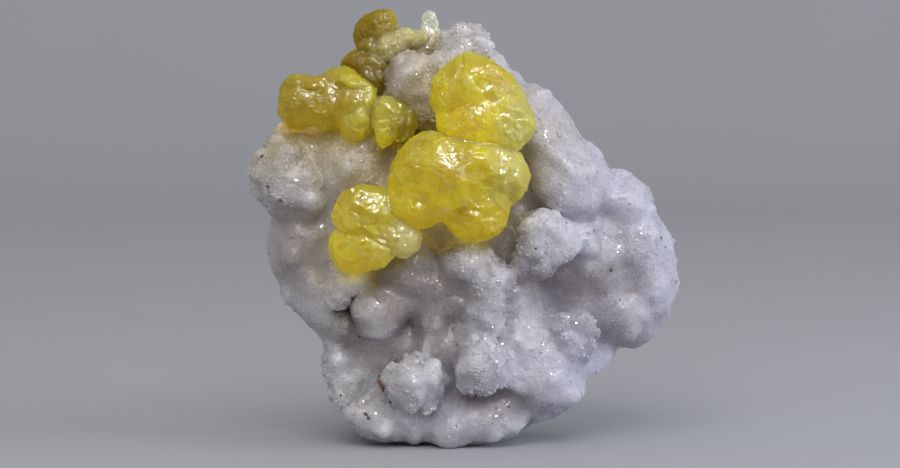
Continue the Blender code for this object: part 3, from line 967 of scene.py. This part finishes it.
def brucite_material(settings, name, clearness, shade=1.0, glassy=False):
    """Waxy yellow crystal: light wanders in it and comes out yellower, and part of it passes straight
    through. Thin lobes are paler, proud rims are painted paler for the light that comes through thin edges,
    and whitish veils hang inside. Pale flakes on small faces are partly painted glints. Glassy crystal
    glints from small faces."""
    made, tree, shader = start_material(name)
    patches = clouds(tree, 5.0, 2.2)
    veils = clouds(tree, 1.6, 2.6)
    grain = use_group(tree, "grain", Size=0.6, Tilt=0.4)
    mottled = clouds(tree, 2.4, 2.2)
    specks = use_group(tree, "specks", Spacing=2.6, Share=0.25, Radius=0.16)["Mask"]

    # pale flakes on the small faces: partly flakes inside, partly painted glints, as if single faces caught
    # the light
    flake_glint = stretched(tree, mottled, 0.2, 0.7, 0.0, 0.22)
    flake_glint = product(tree, stretched(tree, grain["Chance"], 0.6, 1.0), flake_glint)
    # painted light: proud rims are paler, standing for the light through thin edges
    pale = maths(tree, "ADD", attribute(tree, "pale"), product(tree, attribute(tree, "rim"), 0.6))
    pale = maths(tree, "ADD", pale, product(tree, attribute(tree, "vein"), 0.4))
    pale = maths(tree, "ADD", pale, product(tree, stretched(tree, veils, 0.5, 1.0), 0.35), clamp=True)
    pale = maths(tree, "ADD", pale, flake_glint, clamp=True)
    pale = product(tree, pale, stretched(tree, attribute(tree, "amber"), 0.0, 1.0, 1.0, 0.15))
    base = layered(
        tree,
        rgba(settings.lemon),
        (stretched(tree, patches, 0.25, 0.85), settings.olive),
        (stretched(tree, mottled, 0.55, 1.0, 0.0, 0.8), settings.olive),
        (attribute(tree, "amber"), settings.amber),
        (pale, settings.pale),
    )
    grains = stretched(tree, clouds(tree, 0.5, 2.4), 0.5, 1.0, 0.0, 0.6)
    granular = blended(tree, grains, rgba(settings.cream), rgba(settings.amber))
    base = blended(tree, attribute(tree, "cream"), base, granular)
    base = layered(tree, base, (product(tree, specks, 0.45), settings.amber))
    base = blended(tree, 1.0, base, (shade, shade, shade, 1), "MULTIPLY")
    tree.links.new(base, shader.inputs["Base Color"])

    tree.links.new(stretched(tree, veils, 0.2, 0.9, 0.3, 0.5), shader.inputs["Roughness"])
    raise_surface(tree, shader, maths(tree, "ADD", grain["Height"], veils), 0.35, 0.2)
    if glassy:
        place = node(tree, "TexCoord").outputs["Object"]
        _, glints = tilted_cells(tree, place, 1 / (GLINT_SIZE * MM), GLINT_TILT)
        tree.links.new(glints, shader.inputs["Coat Normal"])
        set_values(shader, {"Coat Weight": 0.22, "Coat Roughness": 0.12})
    set_values(shader, {
        "Subsurface Weight": 1.0,
        "Subsurface Radius": (1.0, 0.85, 0.12),
        "Subsurface Scale": 0.004,
        "Transmission Weight": clearness,
        "Specular IOR Level": 0.02,
        "IOR": BRUCITE_IOR,
    })
    let_light_in(tree, shader, 0.2, BRUCITE_PASSES, BRUCITE_DENSITY)
    return made


def let_light_in(tree, shader, share, passed, density):
    """Lets that share of the lamps' light straight through a clear surface, so that what lies behind is lit,
    and tints what passes inside."""
    inside = node(tree, "VolumeAbsorption", {"Color": rgba(passed), "Density": density})
    tree.links.new(inside.outputs[0], tree.nodes["Material Output"].inputs["Volume"])
    through = node(tree, "BsdfTransparent", {"Color": (1, 1, 1, 1)})
    shadow = node(tree, "LightPath").outputs["Is Shadow Ray"]
    mixed = node(tree, "MixShader", {0: product(tree, shadow, share)})
    tree.links.new(shader.outputs[0], mixed.inputs[1])
    tree.links.new(through.outputs[0], mixed.inputs[2])
    tree.links.new(mixed.outputs[0], tree.nodes["Material Output"].inputs["Surface"])


def clear_material(settings):
    """A clear crystal, faintly yellow-green where it is thick."""
    made, tree, shader = start_material("clear_crystal")
    veils = clouds(tree, 0.8, 2.4)
    tree.links.new(stretched(tree, veils, 0.4, 1.0, 0.1, 0.3), shader.inputs["Roughness"])
    base = blended(tree, stretched(tree, veils, 0.5, 1.0, 0.0, 0.6), (1, 1, 0.96, 1), rgba(settings.clear))
    tree.links.new(base, shader.inputs["Base Color"])
    raise_surface(tree, shader, veils, 0.15, 0.1)
    set_values(shader, {"Transmission Weight": 0.8, "IOR": BRUCITE_IOR})
    let_light_in(tree, shader, 0.75, settings.clear, CLEAR_DENSITY)
    return made


def floor_material(settings):
    """Pale matt paper with a faint uneven tone."""
    made, tree, shader = start_material("pale_floor")
    patches = clouds(tree, 60.0, 0.6)
    darker = tuple(0.94 * part for part in settings.floor)
    tree.links.new(blended(tree, patches, rgba(settings.floor), rgba(darker)), shader.inputs["Base Color"])
    set_values(shader, {"Roughness": 0.9, "Specular IOR Level": 0.2})
    return made


# --- the pieces -----------------------------------------------------------------------------------


def plates_of(crystals):
    """All plates of a group of crystals."""
    return [plate for crystal in crystals for plate in crystal]


def union(distances, softness):
    """Blends distances to many lumps into one: -s * log(sum of exp(-d / s)). A large softness s rounds the
    creases between them."""
    nearest = distances.min(axis=-1, keepdims=True)
    return nearest[..., 0] - softness * np.log(np.exp((nearest - distances) / softness).sum(axis=-1))


def near_union(points, lumps, softness):
    """The same blend for many small lumps: each counts only at the points near it."""
    total = np.full(len(points), math.exp(-4 / softness))
    order = np.argsort(points[:, 0])
    along = points[order, 0]
    for lump in lumps:
        reach = 1.3 * max(lump.half) + 2
        first, last = np.searchsorted(along, (lump.centre[0] - reach, lump.centre[0] + reach))
        slab = order[first:last]
        _, off_y, off_z = np.abs(points[slab] - np.array(lump.centre)).T
        near = slab[(off_y < reach) & (off_z < reach)]
        total[near] += np.exp(-depth_in(points[near], [lump])[:, 0] / softness)
    return -softness * np.log(total)


def knobs_on(lumps, count, share, forward, sunk, draw):
    """Small lumps spread over lumps: at angle t and forward part f they sit at (cos t * sqrt(1 - f^2), -f,
    sin t * sqrt(1 - f^2)) times the half sizes, sunk by a share of their own size. f near 0 is the rim."""
    made = []
    for lump in lumps:
        angles = np.arange(count) * 2 * np.pi * GOLDEN_TURN + draw.uniform(0, 2 * np.pi)
        front = draw.uniform(*forward, size=count)
        across = np.sqrt(1 - front**2)
        ways = np.stack([across * np.cos(angles), -front, across * np.sin(angles)], axis=-1)
        sizes = np.cbrt(np.prod(lump.half)) * share * draw.uniform(0.6, 1.4, size=(count, 1))
        halves = sizes * draw.uniform(*UNEVEN, size=(count, 3))
        centres = ways * (np.array(lump.half) - sunk * sizes)
        centres = leaned(centres, math.radians(lump.lean)) + np.array(lump.centre)
        made += [Lump(*each) for each in zip(centres, halves, draw.uniform(-40, 40, size=count))]
    return made


def settled(points, faces, edges, depth):
    """Draws a skin to where its depth outside the shape is 0: each point moves against its normal by its
    depth and is smoothed a little, a few times over."""
    for _ in range(SETTLING_ROUNDS):
        points = points - depth(points)[:, None] * normals_of(points, faces)
        points = relaxed(points, edges, 1, SETTLING_SHARE)
    return points, faces, edges


def drift(points, size, seed):
    """A small random shift for each point, each of its three parts a swell of its own."""
    return np.stack([swell(points, size, seed + 10 * axis) for axis in range(3)], axis=-1)


def wavered(points, waves, seed=0):
    """Points shifted by drifts, each given by its height, its size and its seed."""
    moved = points
    for height, size, own in waves:
        moved = moved + height * drift(points, size, seed + own)
    return moved


def rock_depth(points, starts, facing, knobs):
    """How far points lie outside the rock: the soft union of the broken masses and the smooth crust, joined
    more crisply to the knobby lumps and their knobs. The shapes waver a little."""
    moved = wavered(points, ROCK_WAVES)
    broken = depth_in(moved, CORE)
    for start, way in zip(starts, facing):
        broken = np.maximum(broken, moved @ way.T - (start * way).sum(axis=-1))
    broken = union(broken, SOFTNESS["core"])[:, None]
    smooth = union(np.concatenate([broken, depth_in(moved, SMOOTH_CRUST)], axis=-1), SOFTNESS["smooth"])
    knobby = union(depth_in(moved, KNOBBY_CRUST), SOFTNESS["knobby"])
    arm = union(depth_in(moved, ARM), SOFTNESS["arm"])
    small = near_union(moved, knobs, SOFTNESS["knobs"])
    return union(np.stack([smooth, knobby, arm, small], axis=-1), SOFTNESS["rock"])


def rock_skin(settings):
    """The rock's surface before its fine relief: plain balls, fused and settled."""
    draw = np.random.default_rng(11)
    starts, facing = chip_planes()
    knobs = [knob for row in KNOBS for knob in knobs_on(*row, draw)]
    masses = pressed_behind(placed(ball_grid(*MASS_GRID)[None], CORE), starts, facing)
    crust = placed(ball_grid(*CRUST_GRID)[None], SMOOTH_CRUST + KNOBBY_CRUST + ARM)
    bits = placed(ball_grid(*KNOB_GRID)[None], knobs)
    skin = largest_part(*fused([masses, crust, bits], settings.voxel / MM))
    return settled(*skin, lambda points: rock_depth(points, starts, facing, knobs))


def rock_relief(points, normals, knobby, behind, settings):
    """The height of the rock's fine relief: broad swells, rounded knobs on the knobby lumps and round their
    rims, sugary grain, and hackly steps on the broken back."""
    rim = 1 - ramp(-normals[:, 1], 0.25, 0.8)
    wavering = wavered(points, KNOB_WAVES)
    bulges = pebbles(wavered(points, BULGE_WAVES), *BULGES)
    large = pebbles(wavering, *LARGE_KNOBS)
    small = pebbles(wavering, *SMALL_KNOBS)
    sugar = pebbles(points, *SUGAR)
    knobs = settings.knob_height / MM * ((0.35 - large**2) + 0.5 * (0.35 - small**2))
    steps = stepped(rough(points, 5.0, 6, 3), 3)
    height = settings.relief / MM * (rough(points, 4.0, 2, 2) + 2.2 * (0.3 - bulges**2))
    height += knobs * (0.25 + knobby * (0.3 + 0.7 * rim)) * (1 - behind)
    height += settings.grain_height / MM * (0.4 - sugar) * (0.4 + 0.6 * np.maximum(knobby, behind))
    return height + behind * BACK_STEP_HEIGHT * steps


def rock_values(points, normals, broad, broadest):
    """What the rock's material reads at each point, from 0 to 1. Hollows, which get painted shade, are found
    from how far the point lies under the surface smoothed a little and smoothed a lot. The painted glow
    beside the crystals, the painted cool light to the right and the painted highlight on proud crests are
    worked out here too."""
    sunk = dot(broad - points, normals)
    deep = dot(broadest - points, normals)
    # clear falls from 1 inside the patches of painted shade
    clear = np.ones(len(points))
    for patch, strength in PAINTED_SHADE_PATCHES:
        away = depth_in(points, [patch])[:, 0] + 1.5 * swell(points, 5, 6)
        clear *= 1 - strength * ramp(-away, -2.0, 3.0)
    yellow = depth_in(points, plates_of(MAIN_CLUSTER + LEFT_CLUSTER + TOP_CLUSTER)).min(axis=-1)
    flat = ramp(points[:, 2], 36, 42) * ramp(-points[:, 0], -1, 4)  # between the two groups of crystals
    stain = np.linalg.norm(points[:, [0, 2]] - np.array(RUST_SPOT), axis=-1) + 99 * (points[:, 1] > 0)
    return {
        # painted shade: darker where the point is sunk under the smoothed surface or lies in a patch of
        # painted shade
        "hollow": 1 - clear * (1 - 0.5 * ramp(sunk, 0.0, 1.2)) * (1 - 0.5 * ramp(deep, 0.0, 4.0)),
        # painted cool light: lavender towards the right
        "cool": ramp(points[:, 0] - 0.35 * points[:, 2] + 6 * swell(points, 9, 5), -16, 14),
        "warm": ramp(points[:, 2] - 0.8 * points[:, 0] + 5 * swell(points, 8, 7), 38, 60),
        # painted glow: yellow light from the crystals, fading with distance, stronger on the flat between
        # the two groups
        "glow": np.exp(-np.maximum(yellow, 0) / (3 + 5 * flat)) * (0.5 + 0.5 * flat),
        "rust": ramp(-stain, -RUST_REACH, -0.3 * RUST_REACH),
        # painted highlight on proud crests, partly their frost; none in the patches of painted shade
        "raised": ramp(-sunk, 0.1, 1.0) * clear,
    }


def build_rock(settings):
    """The white rock. Also gives its points, normals and values, for the grains."""
    points, faces, edges = rock_skin(settings)
    normals = normals_of(points, faces)
    knobby = ramp(-depth_in(points, KNOBBY_CRUST).min(axis=-1), -1.0, -0.1)
    behind = ramp(points[:, 1], 3, 8) * ramp(normals[:, 1], 0.1, 0.6)
    height = rock_relief(points, normals, knobby, behind, settings)
    points = points + normals * height[:, None]
    points[:, 2] = np.maximum(points[:, 2], SOLID_BOX[0][2] / MM)

    normals = normals_of(points, faces)
    broad = relaxed(points, edges, HOLLOW_ROUNDS)
    broadest = relaxed(points, edges, BROAD_HOLLOW_ROUNDS, 0.95)
    values = rock_values(points, normals, broad, broadest)
    finished("rock", points, faces, rock_material(settings), values, "white_rock", ["white_matrix"])
    raised = dot(points - relaxed(points, edges, CREST_ROUNDS), normals)
    return points, normals, values, knobby, raised


def turned_at_random(count, draw):
    """Rotation matrices from random unit quaternions."""
    spin = draw.normal(size=(count, 4))
    w, x, y, z = (spin / np.linalg.norm(spin, axis=-1, keepdims=True)).T
    rows = (
        (1 - 2 * (y * y + z * z), 2 * (x * y - w * z), 2 * (x * z + w * y)),
        (2 * (x * y + w * z), 1 - 2 * (x * x + z * z), 2 * (y * z - w * x)),
        (2 * (x * z - w * y), 2 * (y * z + w * x), 1 - 2 * (x * x + y * y)),
    )
    return np.moveaxis(np.array(rows), -1, 0)


def twenty_faces():
    """A regular solid of twenty triangles: its corners are (0, +-1, +-g) in the three cyclic orders, with g
    the golden ratio, and its faces are the triples of corners that lie 2 apart."""
    golden = (1 + math.sqrt(5)) / 2
    signs = np.array([(one, other * golden) for one in (-1, 1) for other in (-1, 1)])
    flat = np.column_stack([np.zeros(4), signs])
    corners = np.concatenate([np.roll(flat, shift, axis=1) for shift in range(3)])
    near = np.isclose(np.linalg.norm(corners[:, None] - corners[None], axis=-1), 2)
    triples = np.array(list(combinations(range(12), 3)))
    faces = triples[near[triples[:, [0, 1, 2]], triples[:, [1, 2, 0]]].all(axis=-1)]
    first, second, third = (corners[faces[:, corner]] for corner in range(3))
    inward = dot(np.cross(second - first, third - first), first) < 0
    faces[inward] = faces[inward][:, ::-1]
    return corners / np.linalg.norm(corners[0]), faces


def twenty_faced(seats, halves, draw):
    """Solids of twenty faces on those seats, each turned at random and stretched to those half sizes first.
    Gives their points and faces."""
    corners, faces = twenty_faces()
    turns = turned_at_random(len(seats), draw)
    solids = np.einsum("nij,nkj->nki", turns, corners[None] * halves[:, None]) + seats[:, None]
    offsets = np.arange(len(seats))[:, None, None] * len(corners)
    return solids.reshape(-1, 3), (faces[None] + offsets).reshape(-1, 3)


def build_grains(settings, points, normals, values, knobby, raised):
    """Single sugary grains: small many-faced solids, turned at random and more than half sunk in the crust,
    most of them along its crests."""
    draw = np.random.default_rng(5)
    front = ramp(-normals[:, 1], -0.6, 0.2)
    weight = front * (0.12 + knobby) * (0.15 + ramp(raised, 0.0, 0.2)) * (points[:, 2] > 1)
    chosen = draw.choice(len(points), size=settings.grain_count, replace=False, p=weight / weight.sum())
    sizes = settings.grain_size / MM * draw.lognormal(0, 0.3, size=(len(chosen), 1))
    sizes = np.clip(sizes, *GRAIN_SIZES)
    halves = sizes * draw.uniform(*UNEVEN, size=(len(chosen), 3))
    solids, faces = twenty_faced(points[chosen] - normals[chosen] * sizes * GRAIN_SUNK, halves, draw)
    own = {name: np.repeat(each[chosen], len(solids) // len(chosen)) for name, each in values.items()}
    finish = rock_material(settings, "loose_grain", loose=True)
    finished("rock_grains", solids, faces, finish, own, "white_rock", smooth=False)


def build_specks(settings, points):
    """The black specks: small flattened many-faced solids, each on the foremost point of the rock near its
    place as seen from the front."""
    draw = np.random.default_rng(9)
    places = np.array(SPECKS)
    aside = np.linalg.norm(points[None, :, [0, 2]] - places[:, None, :2], axis=-1)
    seats = points[np.where(aside < SPECK_REACH, points[None, :, 1], np.inf).argmin(axis=-1)]
    halves = places[:, 2:] * draw.uniform(0.6, 1.3, size=(len(places), 3))
    solids, faces = twenty_faced(seats, halves, draw)
    finished("black_specks", solids, faces, speck_material(settings), {}, "white_rock", smooth=False)


def beside_line(points, line):
    """How far points lie from a broken line of (x, z) corners, seen from the front: the least distance to
    any of its straight parts, each worked out from the share of the way along it, held between 0 and 1."""
    flat = points[:, [0, 2]]
    nearest = np.full(len(points), np.inf)
    for start, end in zip(np.array(line[:-1], float), np.array(line[1:], float)):
        run = end - start
        share = np.clip((flat - start) @ run / (run @ run), 0, 1)
        nearest = np.minimum(nearest, np.linalg.norm(flat - start - share[:, None] * run, axis=-1))
    return nearest


def crystal_depth(points, crystals, seed):
    """How far points lie outside each crystal: the union of its faceted plates, which waver a little."""
    moved = wavered(points, CRYSTAL_WAVES, seed)
    draw = np.random.default_rng(seed)
    cut = [depth_in_facets(moved, plates, draw) for plates in crystals]
    return np.stack([union(depth, SOFTNESS["plates"]) for depth in cut], axis=-1)


def meeting(points, crystals, seed):
    """How near each point is to where two crystals of a group meet: 1 on the line between them."""
    if len(crystals) == 1:
        return np.zeros(len(points))
    nearest, second = np.partition(crystal_depth(points, crystals, seed), 1, axis=-1)[:, :2].T
    return np.exp(-(((second - nearest) / GROOVE_WIDTH) ** 2))


def line_mark(points, line, width):
    """1 on a broken line on the front of the main group, fading away from it over that width."""
    return np.exp(-((beside_line(points, line) / width) ** 2)) * (points[:, 1] < LINES_IN_FRONT_OF)


def crystal_values(points, faces, edges, crystals, met):
    """What the crystals' material reads at each point, from 0 to 1: each plate's own colours, the nearest
    plate's counting most; how far the point stands out as a rim, which is painted paler for the light
    through thin edges; and how near it is to where two crystals meet, or to a vein."""
    plates = plates_of(crystals)
    away = depth_in(points, plates)
    share = np.exp(-(away - away.min(axis=-1, keepdims=True)) / COLOUR_SOFTNESS)
    share /= share.sum(axis=-1, keepdims=True)
    names = ("pale", "cream", "amber")
    found = {name: share @ np.array([getattr(plate, name) for plate in plates], float) for name in names}
    proud = dot(points - relaxed(points, edges, RIM_ROUNDS), normals_of(points, faces))
    veins = [line_mark(points, line, VEIN_WIDTH) for line in VEINS]
    return {**found, "rim": ramp(proud, 0.08, 0.5), "vein": np.max([met, *veins], axis=0)}


def build_crystals(group, settings, finish):
    """A group of crystals grown into each other. Each is the union of faceted plates, roughened by small
    flat faces of three sizes, growth steps, cracks and, where it is granular, rounded grains."""
    crystals, seed, face_size = group.crystals, group.seed, group.face_size
    balls = placed(ball_grid(*MASS_GRID)[None], plates_of(crystals))
    skin = fused([balls], settings.voxel / MM)
    points, faces, edges = settled(
        *skin, lambda points: union(crystal_depth(points, crystals, seed), SOFTNESS["crystals"])
    )
    normals = normals_of(relaxed(points, edges, 3), faces)
    met = meeting(points, crystals, seed)
    values = crystal_values(points, faces, edges, crystals, met)
    wavering = wavered(points, FACE_WAVES, seed)
    patchy = ramp(swell(points, 3.0, seed + 8), -0.4, 0.4)
    height = np.zeros(len(points))
    for high, wide, uneven, own in FACE_LEVELS:
        facets = settings.face_height / MM * high * slopes(wavering, wide * face_size, seed + own)
        height += facets * (1 - uneven + uneven * patchy)
    height += settings.step_height / MM * stepped(rough(points, 4.5, seed + 3, 2), 4, 0.15)
    size, own = ROUNDED_GRAINS
    height += ROUNDED_GRAIN_HEIGHT * values["cream"] * (0.35 - pebbles(wavering, size, seed + own) ** 2)
    height -= GROOVE_DEPTH * met
    for line in CRACKS:
        height -= CRACK_DEPTH * line_mark(points, line, CRACK_WIDTH)
    points = points + normals * height[:, None]
    finished(group.piece, points, faces, finish, values, group.slot, [group.node])


# --- the add-on -----------------------------------------------------------------------------------


class SPECIMEN_OT_rock(bpy.types.Operator):
    """Build the white rock and the sugary grains on it"""

    bl_idname = "specimen.rock"
    bl_label = "Build rock"

    def execute(self, context):
        settings = context.scene.specimen_rock
        surface = build_rock(settings)
        build_grains(settings, *surface)
        build_specks(settings, surface[0])
        return {"FINISHED"}


class SPECIMEN_OT_brucite(bpy.types.Operator):
    """Build the three groups of yellow brucite crystals"""

    bl_idname = "specimen.brucite"
    bl_label = "Build brucite"

    def execute(self, context):
        settings = context.scene.specimen_brucite
        finishes = {
            "lemon_brucite": brucite_material(settings, "lemon_brucite", 0.5, glassy=True),
            "olive_brucite": brucite_material(settings, "olive_brucite", 0.25, shade=0.65),
        }
        for group in BRUCITE_GROUPS:
            build_crystals(group, settings, finishes[group.slot])
        return {"FINISHED"}


class SPECIMEN_OT_clear_knob(bpy.types.Operator):
    """Build the small clear crystal beside the top group"""

    bl_idname = "specimen.clear_knob"
    bl_label = "Build clear knob"

    def execute(self, context):
        settings = context.scene.specimen_brucite
        build_crystals(CLEAR_GROUP, settings, clear_material(settings))
        return {"FINISHED"}


def sweep_floor(settings):
    """A floor that curves up into a backdrop: a straight run, a quarter circle and a straight rise, carried
    along X."""
    half_width, front, back, radius, top = 900.0, -900.0, 350.0, 250.0, 700.0
    turn = np.linspace(0, np.pi / 2, 24)
    arc = np.stack([back + radius * np.sin(turn), radius * (1 - np.cos(turn))], axis=-1)
    profile = np.concatenate([[(front, 0.0)], arc, [(back + radius, top)]])
    across = np.linspace(-half_width, half_width, 9)
    points = np.stack(np.broadcast_arrays(across[None, :], profile[:, :1], profile[:, 1:]), axis=-1)
    row, column = np.mgrid[0 : len(profile) - 1, 0 : len(across) - 1]
    start = row * len(across) + column
    above = start + len(across)
    faces = np.stack([start, start + 1, above + 1, above], axis=-1).reshape(-1, 4)
    floor = add_piece("floor", points.reshape(-1, 3), faces, floor_material(settings), {})


def aim(obj, place, target):
    """Puts a lamp or a camera in its place, and turns it towards a target."""
    obj.location = place
    obj.rotation_euler = (Vector(target) - Vector(place)).to_track_quat("-Z", "Y").to_euler()


def add_light(name, place, target, power, size, tint):
    """A square lamp that shines at a target."""
    lamp = bpy.data.lights.new(name, "AREA")
    lamp.energy = power
    lamp.size = size
    lamp.color = tint
    obj = bpy.data.objects.new(name, lamp)
    bpy.context.scene.collection.objects.link(obj)
    aim(obj, place, target)
    return obj


# The lamps, in metres: name, place, size and tint. The glint lamp gives highlights only.
LAMPS = (
    ("key", (-0.08, -0.50, 0.54), 0.5, (1.0, 0.985, 0.96)),
    ("glint", (0.14, -0.34, 0.40), 0.06, (1.0, 1.0, 1.0)),
    ("rim", (0.46, -0.14, 0.16), 0.30, (0.86, 0.88, 1.0)),
)
DOME_TINT = (0.97, 0.965, 1.0, 1)

FRAME_WIDTH = 0.135  # how much of the specimen's plane the picture's width takes in, in metres
VIEW_CENTRE = (-0.0003, 0.0, 0.0311)  # the point in the middle of the picture, in metres
SENSOR = 36.0  # the width of the camera's sensor, in millimetres


class SPECIMEN_OT_stage(bpy.types.Operator):
    """Build the floor, the lights and the camera"""

    bl_idname = "specimen.stage"
    bl_label = "Build stage"

    def execute(self, context):
        settings = context.scene.specimen_stage
        sweep_floor(settings)
        middle = [(low + high) / 2 for low, high in zip(*SOLID_BOX)]
        for name, place, size, tint in LAMPS:
            lamp = add_light(name, place, middle, getattr(settings, name), size, tint)
            lamp.visible_diffuse = name != "glint"
        world = bpy.data.worlds.new("dome")
        world.use_nodes = True
        set_values(world.node_tree.nodes["Background"], {"Color": DOME_TINT, "Strength": settings.dome})
        context.scene.world = world
        context.scene.view_settings.view_transform = "Standard"

        lens = bpy.data.cameras.new("camera")
        lens.sensor_width = SENSOR
        lens.lens = SENSOR * settings.distance / FRAME_WIDTH
        camera = bpy.data.objects.new("camera", lens)
        context.scene.collection.objects.link(camera)
        back = Vector((0, -math.cos(settings.elevation), math.sin(settings.elevation)))
        aim(camera, Vector(VIEW_CENTRE) + back * settings.distance, VIEW_CENTRE)
        context.scene.camera = camera
        return {"FINISHED"}


class VIEW3D_PT_specimen(bpy.types.Panel):
    """Settings and buttons for the specimen"""

    bl_label = "Brucite specimen"
    bl_idname = "VIEW3D_PT_specimen"
    bl_space_type = "VIEW_3D"
    bl_region_type = "UI"
    bl_category = "Specimen"

    def draw(self, context):
        layout = self.layout
        scene = context.scene
        for settings in (scene.specimen_rock, scene.specimen_brucite, scene.specimen_stage):
            column = layout.column()
            for name in settings.__annotations__:
                column.prop(settings, name)
        for operator in OPERATORS:
            layout.operator(operator.bl_idname)


OPERATORS = (SPECIMEN_OT_rock, SPECIMEN_OT_brucite, SPECIMEN_OT_clear_knob, SPECIMEN_OT_stage)
SETTINGS = {
    "specimen_rock": RockSettings,
    "specimen_brucite": BruciteSettings,
    "specimen_stage": StageSettings,
}


def register():
    """Adds the settings, the operators and the panel."""
    for name, group in SETTINGS.items():
        bpy.utils.register_class(group)
        setattr(bpy.types.Scene, name, bpy.props.PointerProperty(type=group))
    for made in (*OPERATORS, VIEW3D_PT_specimen):
        bpy.utils.register_class(made)


def unregister():
    """Takes them out again, in the opposite order."""
    for made in (VIEW3D_PT_specimen, *reversed(OPERATORS)):
        bpy.utils.unregister_class(made)
    for name, group in SETTINGS.items():
        delattr(bpy.types.Scene, name)
        bpy.utils.unregister_class(group)


def main():
    """Builds the specimen and its stage."""
    register()
    bpy.ops.specimen.rock()
    bpy.ops.specimen.brucite()
    bpy.ops.specimen.clear_knob()
    bpy.ops.specimen.stage()


if __name__ == "__main__":
    main()
